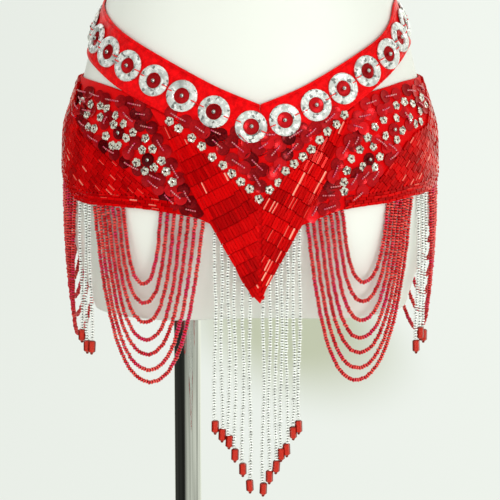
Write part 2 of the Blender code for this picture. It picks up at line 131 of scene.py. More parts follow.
# The hip panels' hem, and their upper edge, which starts tucked under the band.
HEM = {
    LEFT: table(
        "angle height",
        (10, 35), (13.2, 36), (18, 41.6), (25.3, 45.4), (34.5, 48.6), (48, 49.9), (57, 50),
        (65, 52.3), (71.5, 58.8), (79.5, 68.4), (90, 76), (104, 74), (125, 62), (150, 50),
        (180, 44),
    ),
    RIGHT: table(
        "angle height",
        (8.5, 34), (11.5, 35), (18.1, 41.5), (24.6, 47.5), (31.2, 50), (41.2, 52), (52.5, 56),
        (60.9, 57.5), (70.7, 62.4), (80, 70), (90, 76), (104, 74), (125, 62), (150, 50),
        (180, 44),
    ),
}
PANEL_TOP = {
    LEFT: table(
        "angle height",
        (28, 139), (36, 144.5), (44.2, 148.6), (56.5, 155), (65.4, 158.2), (79.5, 161.4),
        (110, 167), (150, 174), (180, 176),
    ),
    RIGHT: table(
        "angle height",
        (25, 137), (31, 144.5), (38.5, 149.5), (47.7, 154), (57.9, 158.1), (75.1, 161.1),
        (110, 167), (150, 174), (180, 176),
    ),
}

# Nested bead loops: the angles of the two roots of the innermost and of the outermost loop.
SWAGS = {
    "front_swags_left": (LEFT, (29.5, 43.0), (16.4, 56.2)),
    "front_swags_right": (RIGHT, (24.8, 42.2), (13.8, 53.8)),
    "side_swags_left": (LEFT, (89.0, 107.0), (69.0, 129.0)),
    "side_swags_right": (RIGHT, (89.0, 107.0), (69.0, 129.0)),
}
LOOP_BOTTOMS = {
    "front": (-17, -34, -51, -67, -80, -94, -105),
    "side": (22, 5, -12, -28, -45, -62, -80),
}

# Silver strands with drops: angle of the root, height of the drop's lower end.
CENTRE_STRANDS = table(
    "angle end",
    (-13.0, -146), (-11.0, -153), (-9.0, -159), (-7.3, -171), (-5.0, -184), (-2.9, -199),
    (0.9, -202), (2.7, -191), (4.6, -182), (6.1, -171), (7.8, -167), (9.7, -152), (11.3, -147),
)
SIDE_STRANDS = {
    LEFT: table("angle end", (58.9, -84), (61.6, -84), (65.2, -75)),
    RIGHT: table("angle end", (58.4, -87), (61.4, -76), (64.2, -79)),
}

# Angles of the ring stones along the waistband, on each side.
ROSETTE_ANGLES = {
    LEFT: (2.6, 13.4, 23.7, 34.1, 45.7, 57.9, 71.6, 87.2, 103, 118.6),
    RIGHT: (7.1, 16.8, 26.6, 37.2, 49.1, 61.3, 75.2, 91.2, 107, 122.5),
}

# Heights of the hooks at the centre back.
BAND_HOOKS = (224, 243)
PANEL_HOOKS = (64, 110, 158)

# Sequins sewn in pairs with a stem of small beads from one to the other. Shade goes from 0,
# burgundy, to 1, bright red. The angles are signed.
V_SEQUINS = table(
    "angle height to_angle to_height shade",
    (-26.5, 132, -21.5, 125, 0.4),
    (-18.5, 121, -16, 116, 0.4),
    (-14, 118, -11, 114, 0.0),
    (-13.5, 110, -10.5, 102, 0.0),
    (-6.5, 116, -3.5, 107, 0.35),
    (-8, 108, -4.5, 99, 0.35),
    (-0.5, 102, 2, 107, 0.7),
    (1, 114, 4, 114, 0.5),
    (3, 96, 5.5, 105, 0.45),
    (7.5, 97, 10.5, 106, 0.15),
    (8, 111, 12, 118, 0.1),
    (13, 112, 16, 119, 0.4),
    (19, 124, 22.5, 132, 0.4),
    (-8, 93, -4.5, 86, 0.4),
    (-2.5, 93, 0.5, 84, 0.15),
    (3.5, 81, 5.5, 89, 0.6),
    (-2, 80, 0, 70, 0.2),
)
HIP_SEQUINS = table(
    "angle height to_angle to_height shade",
    (-78, 150, -67, 148, 0.35),
    (-73, 144, -66, 140, 0.3),
    (-75, 130, -70, 126, 0.35),
    (-66, 133, -60, 132, 0.25),
    (-66, 123, -62, 119, 0.3),
    (-76, 139, -69.5, 133, 0.35),
    (-64.5, 148, -57.5, 145, 0.3),
    (-53.5, 143, -46.5, 141, 0.3),
    (-43, 140, -38, 138, 0.3),
    (-44, 132, -39.5, 124, 0.55),
    (-39, 131, -35, 130, 0.1),
    (-36.5, 121, -32.5, 119, 0.1),
    (-30.5, 109, -28, 99, 0.3),
    (-38, 106, -40.5, 97, 0.3),
    (-51, 102, -46, 96, 0.1),
    (-59, 111, -54, 106, 0.6),
    (-50.5, 128, -51.5, 122, 0.3),
    (-42, 89, -37, 83, 0.05),
    (-33, 79, -29.5, 75, 0.35),
    (-33.5, 74, -30, 67, 0.4),
    (-26, 88, -23.5, 76, 0.3),
    (-28, 62, -25, 54, 0.1),
    (-26, 66, -23, 59, 0.6),
    (-22, 66, -20, 56, 0.05),
    (-21.5, 50, -18, 48, 0.05),
    (34.5, 139, 39, 142, 0.6),
    (43.5, 145, 49.5, 147, 0.5),
    (56.5, 150, 63, 149, 0.5),
    (68, 154, 74, 150, 0.5),
    (70, 144, 75, 140, 0.45),
    (63, 139, 67, 134, 0.35),
    (40.5, 133, 44.5, 136, 0.65),
    (51.5, 131, 53, 120, 0.5),
    (31, 128, 35.5, 130, 0.5),
    (28.5, 121, 32, 118, 0.65),
    (27, 108, 24.5, 97, 0.45),
    (30, 111, 28.5, 104, 0.15),
    (36.5, 109, 41, 101, 0.65),
    (41.5, 104, 45, 98, 0.65),
    (42, 90, 46, 97, 0.5),
    (23, 87, 21.5, 77, 0.45),
    (29.5, 79, 27.5, 70, 0.45),
    (31, 74, 33.5, 80, 0.45),
    (35, 73, 37.5, 81, 0.5),
    (27.5, 55, 31.5, 63, 0.45),
    (20.5, 68, 24, 69, 0.1),
    (18, 61, 22, 61, 0.35),
    (18.5, 49, 22, 52, 0.3),
    (16.5, 52, 15, 44, 0.9),
)
# Single sequins held by a silver bead.
LONE_SEQUINS = table(
    "angle height shade",
    (-44.5, 114, 0.1), (-33.5, 91.5, 0.0), (34, 91, 0.05), (44.5, 116, 0.6),
)
# Silver flower beads: a row below the V panel's sequins, and those among the hips' sequins.
V_FLOWERS = table(
    "angle height",
    (-26.5, 125), (-23.5, 119), (-19.5, 111), (-16.5, 104), (-13.5, 95), (-10.5, 88), (-8, 81),
    (-5.5, 74), (-3, 68), (-0.5, 59), (2.5, 67), (5, 73), (7, 83), (9.5, 89), (12, 95),
    (14.5, 101), (17, 109), (19.5, 116), (22.5, 122), (25.5, 130),
)
HIP_FLOWERS = table(
    "angle height",
    (-68.5, 140), (-61.5, 138), (-55.5, 137), (-52, 135), (-62, 129), (-54, 127), (-47, 129),
    (-47, 121), (-43, 122), (-59.5, 118), (-56, 117), (-50, 111), (-39, 115), (-41.5, 110),
    (-34.5, 110), (-47, 103), (-44.5, 103), (-35.5, 100), (-32, 101), (-37.5, 89), (-29, 91),
    (-31.5, 85), (-34.5, 82), (-27.5, 82), (-25.5, 73),
    (48, 137), (53, 140), (58, 138), (67.5, 143), (46.5, 126), (40.5, 125), (54, 126),
    (62, 131), (70, 136), (36.5, 119), (48.5, 115), (60.5, 122), (56.5, 120), (40.5, 111),
    (33.5, 110), (45.5, 107), (35.5, 102), (30.5, 100), (38, 93), (27.5, 92), (31.5, 85),
    (36, 84), (26, 82), (25, 72), (25, 64),
)
# Where the sequins end and the field of long beads begins on each hip.
FIELD_TOP = {
    LEFT: table(
        "angle height",
        (24, 40), (26.5, 49), (31.5, 62), (39.5, 78), (49, 93), (56, 102), (62.5, 111),
        (66, 117), (70, 127), (74, 135), (78, 146), (82, 165), (84, 190),
    ),
    RIGHT: table(
        "angle height",
        (25, 40), (27.5, 49), (32.5, 61), (39, 78), (47, 96), (56, 112), (64, 118), (70, 128),
        (74, 138), (80, 155), (84, 190),
    ),
}

# Long beads with a painted glint, a pale colour along one edge: share on the left and on the right,
# strength. More are on the right, which faces the light.
V_PAINTED_GLINTS, HIP_PAINTED_GLINTS = (0.03, 0.15, 1.6), (0.12, 0.15, 1.0)
HEM_ROWS, HEM_PITCH = 4, 2.6       # rows of long beads that run along a hip panel's hem
HIP_BEAD = 0.7                     # the hips' long beads are this much shorter than the V's

# Soft creases: a ridge or, with a depth below zero, a trough, as long and wide as it says.
BAND_CREASES = table(
    "angle height length width depth turn",
    (-1.5, 112, 26, 5, -0.5, 75),
    (2.5, 124, 20, 5, 0.4, 110),
    (-9, 118, 18, 4, 0.35, 140),
    (11, 120, 16, 4, 0.35, 40),
    (-39, 165, 30, 5, 0.35, -30),
    (44, 176, 26, 5, 0.35, 30),
    (-66, 190, 30, 6, 0.4, -15),
    (68, 202, 34, 6, 0.4, 15),
    (-128, 228, 40, 6, 0.45, 8),
    (131, 230, 36, 6, 0.45, -8),
    (-160, 234, 30, 5, -0.4, 80),
    (158, 236, 34, 5, -0.4, 100),
)
PANEL_CREASES = table(
    "angle height length width depth turn",
    (-70, 128, 34, 8, 0.5, -50),
    (72, 130, 30, 8, 0.5, 50),
    (-95, 118, 44, 9, 0.7, -70),
    (97, 120, 40, 9, 0.7, 75),
    (-122, 112, 48, 9, 0.7, 85),
    (126, 110, 44, 10, 0.7, 95),
    (-152, 108, 52, 9, -0.6, 80),
    (149, 112, 46, 9, -0.6, 100),
    (-30, 88, 30, 7, 0.4, -60),
    (31, 90, 30, 7, 0.4, 60),
)

SATIN_THREAD = 0.5      # real floats are 0.1 mm wide, too fine to show, and are drawn this coarse
DRILL_THREAD = 0.9      # likewise: the backing's real threads are 0.3 mm apart

MIX_FACTOR, MIX_A, MIX_B = 0, 6, 7      # sockets of the Mix node for colours


def linear(code):
    """Linear colour of an sRGB hex value."""
    channels = [int(code[i:i + 2], 16) / 255.0 for i in (0, 2, 4)]
    return tuple(c / 12.92 if c <= 0.04045 else ((c + 0.055) / 1.055) ** 2.4 for c in channels)


def length_property(name, description, millimetres):
    """Property of a size, shown in the scene's units."""
    return FloatProperty(
        name=name, description=description, default=millimetres * MM, min=0.0001, unit="LENGTH",
        subtype="DISTANCE", precision=4,
    )


def colour_property(name, description, code):
    """Property of a colour, given as an sRGB hex value."""
    return FloatVectorProperty(
        name=name, description=description, default=linear(code), min=0.0, max=1.0, size=3,
        subtype="COLOR",
    )


class BeltSizes(bpy.types.PropertyGroup):
    """Sizes of the trimmings.

    Real seed and silver beads are 3.3 to 3.5 mm wide and 2.2 to 2.3 mm apart. They are too fine
    to show one by one and are drawn as coarse as the defaults here."""

    seed: length_property("Seed bead", "Diameter of a red seed bead in the swags", 4.0)
    seed_pitch: length_property("Seed pitch", "Seed beads along a swag are so far apart", 2.5)
    silver: length_property("Silver bead", "Diameter of a silver bead in the fringe", 3.8)
    silver_pitch: length_property("Silver pitch", "Silver beads on a strand are so far apart", 2.4)
    bugle_length: length_property("Long bead length", "Length of a cut glass long bead", 10.4)
    bugle_width: length_property("Long bead width", "Width of a long bead", 2.55)
    sequin: length_property("Sequin", "Diameter of a cupped sequin", 11.8)
    stem_bead: length_property("Stem bead", "Diameter of the small beads of a stem", 1.7)
    flower: length_property("Flower", "Diameter of a silver flower", 8.6)
    ring: length_property("Ring stone", "Outer diameter of a ring stone", 27.6)
    hole: length_property("Ring stone hole", "Diameter of a ring stone's hole", 14.0)
    stud: length_property("Centre bead", "Diameter of the chrome bead in a ring stone", 3.8)
    drop_width: length_property("Drop width", "Width of a fringe drop across its corners", 6.6)
    drop_length: length_property("Drop length", "Length of a fringe drop", 11.0)
    thread: length_property("Thread", "Thickness of the red sewing thread", 1.0)


class BeltColours(bpy.types.PropertyGroup):
    """Colours of the cloth, the trimmings and the stand."""

    satin: colour_property("Satin", "Satin of the waistband", "F0080E")
    backing: colour_property("Backing", "Cloth under the beads", "D8060A")
    bugle_dark: colour_property("Long bead, dark", "Darkest of the long beads", "980003")
    bugle_light: colour_property("Long bead, light", "Lightest of the long beads", "D40306")
    # Colour of the painted glint mixed along one edge of a few long beads.
    bugle_painted_glint: colour_property("Long bead, flash", "Lining that flashes through a bead", "FFA890")
    sequin_dark: colour_property("Sequin, dark", "Burgundy sequins", "480106")
    sequin_light: colour_property("Sequin, light", "Bright red sequins", "EC1A22")
    seed_red: colour_property("Seed bead, red", "Red of the swags' beads", "DA1C26")
    seed_coral: colour_property("Seed bead, coral", "Coral of the swags' beads", "F25C52")
    seed_pink: colour_property("Seed bead, pink", "Pink of the swags' beads", "D82060")
    silver: colour_property("Silver beads", "Silver-lined beads", "FDFFFA")
    stem: colour_property("Stem beads", "Iridescent beads of the stems", "E09A8C")
    drop: colour_property("Drops", "Brick red drops", "BE281C")
    stone: colour_property("Stones", "Foil-backed ring stones", "FCFEFA")
    flower: colour_property("Flowers", "Metallised plastic flowers", "FFFBEC")
    chrome: colour_property("Chrome", "Chrome plating", "DCDEDC")
    form: colour_property("Form", "Moulded shell of the dress form", "EAEBE4")
    stage: colour_property("Stage", "Floor and backdrop", "E9EEE7")


def smooth(data, column, at, key="angle"):
    """Read a smooth curve through a table's rows, with no overshoot between them."""
    xs, ys = data[key], data[column]
    step = np.diff(xs)
    slope = np.diff(ys) / step
    tangent = np.concatenate(([slope[0]], np.zeros(len(xs) - 2), [slope[-1]]))
    same_way = slope[:-1] * slope[1:] > 0
    before, after = slope[:-1][same_way], slope[1:][same_way]
    tangent[1:-1][same_way] = 2 * before * after / (before + after)
    i = np.clip(np.searchsorted(xs, at) - 1, 0, len(xs) - 2)
    u = np.clip((at - xs[i]) / step[i], 0.0, 1.0)
    return (
        (2 * u**3 - 3 * u**2 + 1) * ys[i]
        + (u**3 - 2 * u**2 + u) * step[i] * tangent[i]
        + (3 * u**2 - 2 * u**3) * ys[i + 1]
        + (u**3 - u**2) * step[i] * tangent[i + 1]
    )


def outline(tables, angle, column="height"):
    """Height of a two-sided outline at signed angles."""
    at = np.abs(angle)
    left, right = (smooth(tables[side], column, at) for side in (LEFT, RIGHT))
    return np.where(np.asarray(angle) < 0, left, right)


def plan_points(angle, section, height, out):
    """Points at angles round the form's sections, in millimetres above the floor."""
    width = smooth(FORM, "width", section, "height") + out
    depth = smooth(FORM, "depth", section, "height") + out
    turn = np.radians(angle)
    parts = np.broadcast_arrays(width * np.sin(turn), -depth * np.cos(turn), HIP_LINE + height)
    return np.stack(parts, axis=-1)


def cloth_points(angle, height, out):
    """Points on the cloth, which hangs from the fullest girth instead of tapering below it."""
    height = np.asarray(height, dtype=float)
    section = np.where(height >= FULLEST, height, FULLEST - HANG * (FULLEST - height))
    return plan_points(np.asarray(angle, dtype=float), section, height, out)


def band_lift(angle):
    """Clearance under the band: over the hip panels at the front, back on the form behind."""
    ease = np.clip((np.abs(angle) - EASE_FROM) / (EASE_TO - EASE_FROM), 0.0, 1.0)
    return CLEAR + OVERLAP_LIFT * (1.0 - ease * ease * (3.0 - 2.0 * ease))


def flat_lift(angle):
    """Clearance under the hip panels."""
    return CLEAR + 0.0 * np.asarray(angle, dtype=float)


def unit(vectors):
    """Vectors of length one."""
    return vectors / np.linalg.norm(vectors, axis=-1, keepdims=True)


def seats(angle, height, out, turn=0.0):
    """Origins and axes of places on the cloth: X turned by degrees from along the cloth, Z out."""
    angle, height, out, turn = np.broadcast_arrays(
        np.asarray(angle, dtype=float), height, out, np.radians(turn)
    )
    along = unit(cloth_points(angle + 0.5, height, out) - cloth_points(angle - 0.5, height, out))
    up = cloth_points(angle, height + 2.0, out) - cloth_points(angle, height - 2.0, out)
    normal = unit(np.cross(along, up))
    up = np.cross(normal, along)
    cos, sin = np.cos(turn)[:, None], np.sin(turn)[:, None]
    axes = np.stack((cos * along + sin * up, cos * up - sin * along, normal), axis=1)
    return cloth_points(angle, height, out), axes


def tipped(axes, rng, degrees):
    """Axes leaned a little at random, as hand-sewn beads lie."""
    lean = np.tan(np.radians(rng.normal(0.0, degrees, (len(axes), 2))))
    x = axes[:, 0] + lean[:, :1] * axes[:, 2]
    y = axes[:, 1] + lean[:, 1:] * axes[:, 2]
    x = unit(x)
    z = unit(np.cross(x, y))
    return np.stack((x, np.cross(z, x), z), axis=1)


def turned(profile, sides):
    """Shape drawn round Z: profile rows are radius and height, from the foot up. Sides are how
    many a round section has, or the points of another section, and both ends are flat."""
    rings = np.array(profile, dtype=float)
    section = sides
    if isinstance(sides, int):
        around = np.arange(sides) * 2.0 * math.pi / sides
        section = np.stack((np.cos(around), np.sin(around)), axis=-1)
    sides = len(section)
    verts = [np.column_stack((radius * section, np.full(sides, at))) for radius, at in rings]
    return np.concatenate(verts), ring_faces(len(rings), sides)


def ring_faces(rings, sides):
    """Faces of a stack of rings with flat ends."""
    faces = [tuple(reversed(range(sides)))]
    for a in range(0, (rings - 1) * sides, sides):
        for k in range(sides):
            n = (k + 1) % sides
            faces.append((a + k, a + n, a + sides + n, a + sides + k))
    faces.append(tuple(range((rings - 1) * sides, rings * sides)))
    return faces


def along_x(shape):
    """A turned shape laid down, so that its axis is X."""
    verts, faces = shape
    return verts[:, [2, 0, 1]], faces


def joined(*shapes):
    """Several shapes as one."""
    verts, faces, start = [], [], 0
    for points, loops in shapes:
        verts.append(points)
        faces += [tuple(start + i for i in loop) for loop in loops]
        start += len(points)
    return np.concatenate(verts), faces


def moved(shape, shift, turn=0.0):
    """A shape turned round Z by degrees and moved."""
    cos, sin = math.cos(math.radians(turn)), math.sin(math.radians(turn))
    rotation = np.array(((cos, sin, 0.0), (-sin, cos, 0.0), (0.0, 0.0, 1.0)))
    points, faces = shape
    return points @ rotation + np.array(shift), faces


def tube(points, radius, sides=6):
    """Round tube along points, with flat ends."""
    points = np.array(points, dtype=float)
    ahead = unit(np.gradient(points, axis=0))
    side = unit(np.cross(ahead, np.tile((0.123, 0.456, 0.881), (len(points), 1))))
    over = np.cross(ahead, side)
    around = np.arange(sides) * 2.0 * math.pi / sides
    ring = np.cos(around)[:, None, None] * side + np.sin(around)[:, None, None] * over
    verts = (points[None] + radius * ring).transpose(1, 0, 2).reshape(-1, 3)
    return verts, ring_faces(len(points), sides)


def faceted_ring(radius, hole, rng):
    """Ring stone with uneven triangular facets, in seven rings of points."""
    sides, slope = STONE_SIDES, radius - hole
    rings = (
        (radius, 0.0, 0.0),
        (radius, 1.2, 0.0),
        (radius - 0.2 * slope, 2.2, 0.5),
        (radius - 0.52 * slope, 2.5, 0.0),
        (hole + 0.18 * slope, 2.3, 0.5),
        (hole, 1.5, 0.0),
        (hole, 0.0, 0.0),
    )
    verts, faces = [], []
    for ring, height, offset in rings:
        around = (np.arange(sides) + offset) * 2.0 * math.pi / sides
        level = height + (height > 2.0) * rng.normal(0.0, 0.22, sides)
        verts.append(np.column_stack((ring * np.cos(around), ring * np.sin(around), level)))
    for level in range(len(rings)):
        low, high = level * sides, ((level + 1) % len(rings)) * sides
        ahead = rings[level][2] > rings[(level + 1) % len(rings)][2]
        for k in range(sides):
            n = (k + 1) % sides
            if ahead:
                faces += [(low + k, high + n, high + k), (low + k, low + n, high + n)]
            else:
                faces += [(low + k, low + n, high + k), (low + n, high + n, high + k)]
    return np.concatenate(verts), faces


def flower_shape(width):
    """Five cupped, faceted petals round a small eye."""
    petal_radius = 0.25 * width
    profile = ((0.92, 0.0), (1.0, 0.55), (0.62, 1.25), (0.16, 0.8))
    petal = turned([(petal_radius * r, height) for r, height in profile], 6)
    reach = 0.5 * width - petal_radius
    petals = []
    for k in range(5):
        turn = 72.0 * k + 90.0
        shift = (reach * math.cos(math.radians(turn)), reach * math.sin(math.radians(turn)), 0.0)
        petals.append(moved(petal, shift, 20.0 * k))
    return joined(*petals)


def sequin_shape(diameter, sides=20):
    """Cupped sequin: thin foil with a raised rim and a small eye."""
    r = 0.5 * diameter
    top = ((0.12 * r, 0.22), (0.45 * r, 0.28), (0.75 * r, 0.42), (r, 0.75))
    under = ((r, 0.63), (0.75 * r, 0.3), (0.12 * r, 0.1))
    return turned((*under[::-1], *top[::-1]), sides)


def new_mesh(name, verts, loops, starts, smooth_faces):
    """Mesh from flat arrays, in metres."""
    mesh = bpy.data.meshes.new(name)
    mesh.vertices.add(len(verts))
    mesh.vertices.foreach_set("co", (verts * MM).astype(np.float32).ravel())
    mesh.loops.add(len(loops))
    mesh.loops.foreach_set("vertex_index", loops.astype(np.int32))
    mesh.polygons.add(len(starts))
    mesh.polygons.foreach_set("loop_start", starts.astype(np.int32))
    mesh.update(calc_edges=True)
    if smooth_faces:
        mesh.shade_smooth()
    else:
        mesh.shade_flat()
    return mesh


def flat_loops(faces):
    """Vertex indices of faces in one row, and where each face starts."""
    totals = np.array([len(face) for face in faces])
    return np.concatenate([np.array(face) for face in faces]), np.cumsum(totals) - totals


def together(parts):
    """Like rows of arrays as one row, such as the places of several strands."""
    return [np.concatenate(column) for column in zip(*parts)]


def strewn(name, shape, places, smooth_faces=True, tint=None, sharp=None):
    """Mesh of copies of a small shape, one at each place, with their tints. Edges are sharp from
    an angle in degrees."""
    points, faces = shape
    origins, axes = places
    loops, starts = flat_loops(faces)
    copies = np.arange(len(origins))[:, None]
    verts = (origins[:, None, :] + np.matmul(points, axes)).reshape(-1, 3)
    all_loops = (loops + len(points) * copies).ravel()
    mesh = new_mesh(name, verts, all_loops, (starts + len(loops) * copies).ravel(), smooth_faces)
    if tint is not None:
        values = np.broadcast_to(np.reshape(tint, (len(origins), -1)), (len(origins), len(points)))
        attribute = mesh.attributes.new("tint", "FLOAT", "POINT")
        attribute.data.foreach_set("value", values.astype(np.float32).ravel())
    if sharp is not None:
        mesh.set_sharp_from_angle(angle=math.radians(sharp))
    return mesh


def grid_mesh(name, points, closed=False, lengths=None):
    """Mesh of a grid of points, columns by rows. A closed one joins the last row to the first and
    has caps on the first and last column. Lengths, along and up, become the mesh's UV map."""
    columns, rows = points.shape[:2]
    index = np.arange(columns * rows).reshape(columns, rows)
    after = np.roll(index, -1, axis=1) if closed else index[:, 1:]
    here = index if closed else index[:, :-1]
    quads = np.stack((here[:-1], here[1:], after[1:], after[:-1]), axis=-1).reshape(-1, 4)
    loops, starts = quads.ravel(), np.arange(len(quads)) * 4
    if closed:
        ends = (index[0], index[-1, ::-1])
        starts = np.concatenate((starts, (len(loops), len(loops) + rows)))
        loops = np.concatenate((loops, *ends))
    mesh = new_mesh(name, points.reshape(-1, 3), loops, starts, True)
    if lengths is not None:
        uv = lengths.reshape(-1, 2)[loops] * MM
        mesh.uv_layers.new(name="cloth").data.foreach_set("uv", uv.astype(np.float32).ravel())
    return mesh


def add_piece(mesh, material, replaced=()):
    """Piece of the object, which rides on its one body."""
    obj = bpy.data.objects.new(mesh.name, mesh)
    bpy.context.scene.collection.objects.link(obj)
    mesh.materials.append(material)
    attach(obj, "root")
    if replaced:
        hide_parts(*replaced)
    return obj


def set_inputs(node, inputs):
    """Set a node's inputs, each to a value, an output, or a node's first output in use."""
    for key, value in inputs.items():
        if isinstance(value, bpy.types.Node):
            value = next(output for output in value.outputs if output.enabled)
        if isinstance(value, bpy.types.NodeSocket):
            node.id_data.links.new(value, node.inputs[key])
        else:
            node.inputs[key].default_value = value


def add_node(tree, kind, settings=None, inputs=None):
    """Add a shader node with its settings and links."""
    node = tree.nodes.new("ShaderNode" + kind)
    for key, value in (settings or {}).items():
        setattr(node, key, value)
    set_inputs(node, inputs or {})
    return node


def new_material(name, settings):
    """Material with the Principled shader's own values set, its node tree and its shader."""
    material = bpy.data.materials.new(name)
    material.use_nodes = True
    shader = material.node_tree.nodes["Principled BSDF"]
    set_inputs(shader, settings)
    return material, material.node_tree, shader


def rgba(colour, factor=1.0):
    """Colour with alpha, made darker or lighter by a factor."""
    return (*(min(1.0, channel * factor) for channel in colour), 1.0)


def satin_material(colours):
    """Polyester satin, woven in long floats and pressed.

    Long floats give a bright, soft sheen along the band. The face's slight bright and dark mottling
    is painted sheen in the base colour."""
    material, tree, shader = new_material("polyester_satin_woven", {
        "Roughness": 0.32, "Specular IOR Level": 0.3, "Specular Tint": (1.0, 0.1, 0.1, 1.0),
    })
    cloth = add_node(tree, "UVMap", {"uv_map": "cloth"}).outputs["UV"]
    mottle = add_node(tree, "TexNoise", None, {
        "Vector": cloth, "Scale": 1.0 / (7.0 * MM), "Detail": 5.0, "Roughness": 0.65,
    })
    # Painted sheen: soft patches of noise lighten and darken the satin's base colour.
    painted_sheen = add_node(tree, "MapRange", None, {
        "Value": mottle, "From Min": 0.36, "From Max": 0.66,
    })
    colour = add_node(tree, "Mix", {"data_type": "RGBA"}, {
        MIX_FACTOR: painted_sheen, MIX_A: rgba(colours.satin, 0.68), MIX_B: rgba(colours.satin, 1.4),
    })
    set_inputs(shader, {"Base Color": colour})
    floats = add_node(tree, "TexWave", {"bands_direction": "Y"}, {
        "Vector": cloth, "Scale": 1.0 / (SATIN_THREAD * MM) / 20.0, "Distortion": 1.5,
    })
    weave = add_node(tree, "Bump", None, {
        "Strength": 0.25, "Distance": 0.05 * MM, "Height": floats.outputs["Fac"],
    })
    slub = add_node(tree, "Bump", None, {
        "Strength": 0.8, "Distance": 0.9 * MM, "Height": mottle, "Normal": weave,
    })
    set_inputs(shader, {"Normal": slub})
    return material


def backing_material(colours):
    """Polyester drill, woven and dyed red.

    A plain matt red ground with a faint diagonal rib shows between the sequins."""
    material, tree, shader = new_material("polyester_drill_woven", {
        "Roughness": 0.6, "Specular IOR Level": 0.15, "Specular Tint": (1.0, 0.2, 0.2, 1.0),
    })
    cloth = add_node(tree, "UVMap", {"uv_map": "cloth"}).outputs["UV"]
    tone = add_node(tree, "TexNoise", None, {
        "Vector": cloth, "Scale": 1.0 / (9.0 * MM), "Detail": 4.0,
    })
    colour = add_node(tree, "Mix", {"data_type": "RGBA"}, {
        MIX_FACTOR: tone, MIX_A: rgba(colours.backing, 0.85), MIX_B: rgba(colours.backing, 1.12),
    })
    set_inputs(shader, {"Base Color": colour})
    rib = add_node(tree, "TexWave", {"bands_direction": "DIAGONAL"}, {
        "Vector": cloth, "Scale": 1.0 / (DRILL_THREAD * MM) / 20.0,
    })
    bump = add_node(tree, "Bump", None, {
        "Strength": 0.4, "Distance": 0.1 * MM, "Height": rib.outputs["Fac"],
    })
    set_inputs(shader, {"Normal": bump})
    return material


def two_tone(name, dark, light, settings):
    """Glossy material whose colour goes from dark to light with a bead's tint, which holds its own
    tone and, on some pieces, painted shade.
    """
    material, tree, shader = new_material(name, settings)
    share = add_node(tree, "Attribute", {"attribute_name": "tint"})
    grain = add_node(tree, "TexNoise", None, {
        "Vector": add_node(tree, "TexCoord").outputs["Object"],
        "Scale": 1.0 / (1.6 * MM), "Detail": 2.0,
    })
    blotch = add_node(tree, "Math", {"operation": "MULTIPLY_ADD"}, {
        0: grain, 1: 0.5, 2: share.outputs["Fac"],
    })
    centred = add_node(tree, "Math", {"operation": "SUBTRACT", "use_clamp": True}, {
        0: blotch, 1: 0.25,
    })
    colour = add_node(tree, "Mix", {"data_type": "RGBA"}, {
        MIX_FACTOR: centred, MIX_A: rgba(dark), MIX_B: rgba(light),
    })
    set_inputs(shader, {"Base Color": colour})
    return material


def bugle_material(colours):
    """Silver-lined soda glass, drawn to a square tube and cut.

    The lining throws light back through the red glass. Now and then a flat side flashes: a painted
    glint, pale pink mixed into the colour along one edge."""
    material = two_tone("soda_glass_cut", colours.bugle_dark, colours.bugle_light, {
        "Roughness": 0.12, "IOR": 1.52, "Specular Tint": (1.0, 0.1, 0.08, 1.0),
    })
    tree = material.node_tree
    shader = tree.nodes["Principled BSDF"]
    share = add_node(tree, "Attribute", {"attribute_name": "tint"})
    # Painted glint: tints above 1.1 mix the pale flash colour into the base colour.
    painted_glint = add_node(tree, "MapRange", None, {
        "Value": share.outputs["Fac"], "From Min": 1.1, "From Max": 2.0,
    })
    colour = add_node(tree, "Mix", {"data_type": "RGBA"}, {
        MIX_FACTOR: painted_glint,
        MIX_A: shader.inputs["Base Color"].links[0].from_socket,
        MIX_B: rgba(colours.bugle_painted_glint),
    })
    set_inputs(shader, {"Base Color": colour})
    return material


def seed_material(colours):
    """Lustred soda glass, drawn, chopped and tumbled round.

    A metal-oxide lustre makes neighbouring beads red, coral or pink with a pearly glint. The dark
    red at each bead's mouths is painted shade."""
    material, tree, shader = new_material("soda_glass_lustred", {
        "Roughness": 0.25, "IOR": 1.52, "Specular Tint": (1.0, 0.3, 0.3, 1.0), "Coat Weight": 0.3,
        "Coat Roughness": 0.06,
    })
    share = add_node(tree, "Attribute", {"attribute_name": "tint"})
    patches = add_node(tree, "TexNoise", None, {
        "Vector": add_node(tree, "TexCoord").outputs["Object"],
        "Scale": 1.0 / (18.0 * MM), "Detail": 1.0,
    })
    pinkness = add_node(tree, "MapRange", None, {
        "Value": patches, "From Min": 0.5, "From Max": 0.62,
    })
    bright = add_node(tree, "Mix", {"data_type": "RGBA"}, {
        MIX_FACTOR: pinkness, MIX_A: rgba(colours.seed_coral), MIX_B: rgba(colours.seed_pink),
    })
    ramp = add_node(tree, "ValToRGB", None, {"Fac": share.outputs["Fac"]})
    # Tint 0, at a bead's mouths, is painted shade: the red darkened to 0.35.
    ramp.color_ramp.elements[0].color = rgba(colours.seed_red, 0.35)
    ramp.color_ramp.elements[1].position = 0.55
    ramp.color_ramp.elements[1].color = rgba(colours.seed_red)
    lustre = add_node(tree, "MapRange", None, {
        "Value": share.outputs["Fac"], "From Min": 0.55, "From Max": 0.95,
    })
    colour = add_node(tree, "Mix", {"data_type": "RGBA"}, {
        MIX_FACTOR: lustre, MIX_A: ramp, MIX_B: bright,
    })
    set_inputs(shader, {"Base Color": colour})
    return material


def silver_bead_material(colours):
    """Silver-lined clear soda glass, drawn and tumbled.

    The lining shows through the clear glass as a bright, slightly warm silver. The near black at
    each bead's mouths is painted shade."""
    # The dark colour, a twentieth of the silver, is painted shade at the beads' mouths.
    return two_tone("soda_glass_silver_lined", [0.05 * c for c in colours.silver], colours.silver, {
        "Roughness": 0.2, "IOR": 1.52, "Coat Weight": 0.6, "Coat Roughness": 0.04,
    })


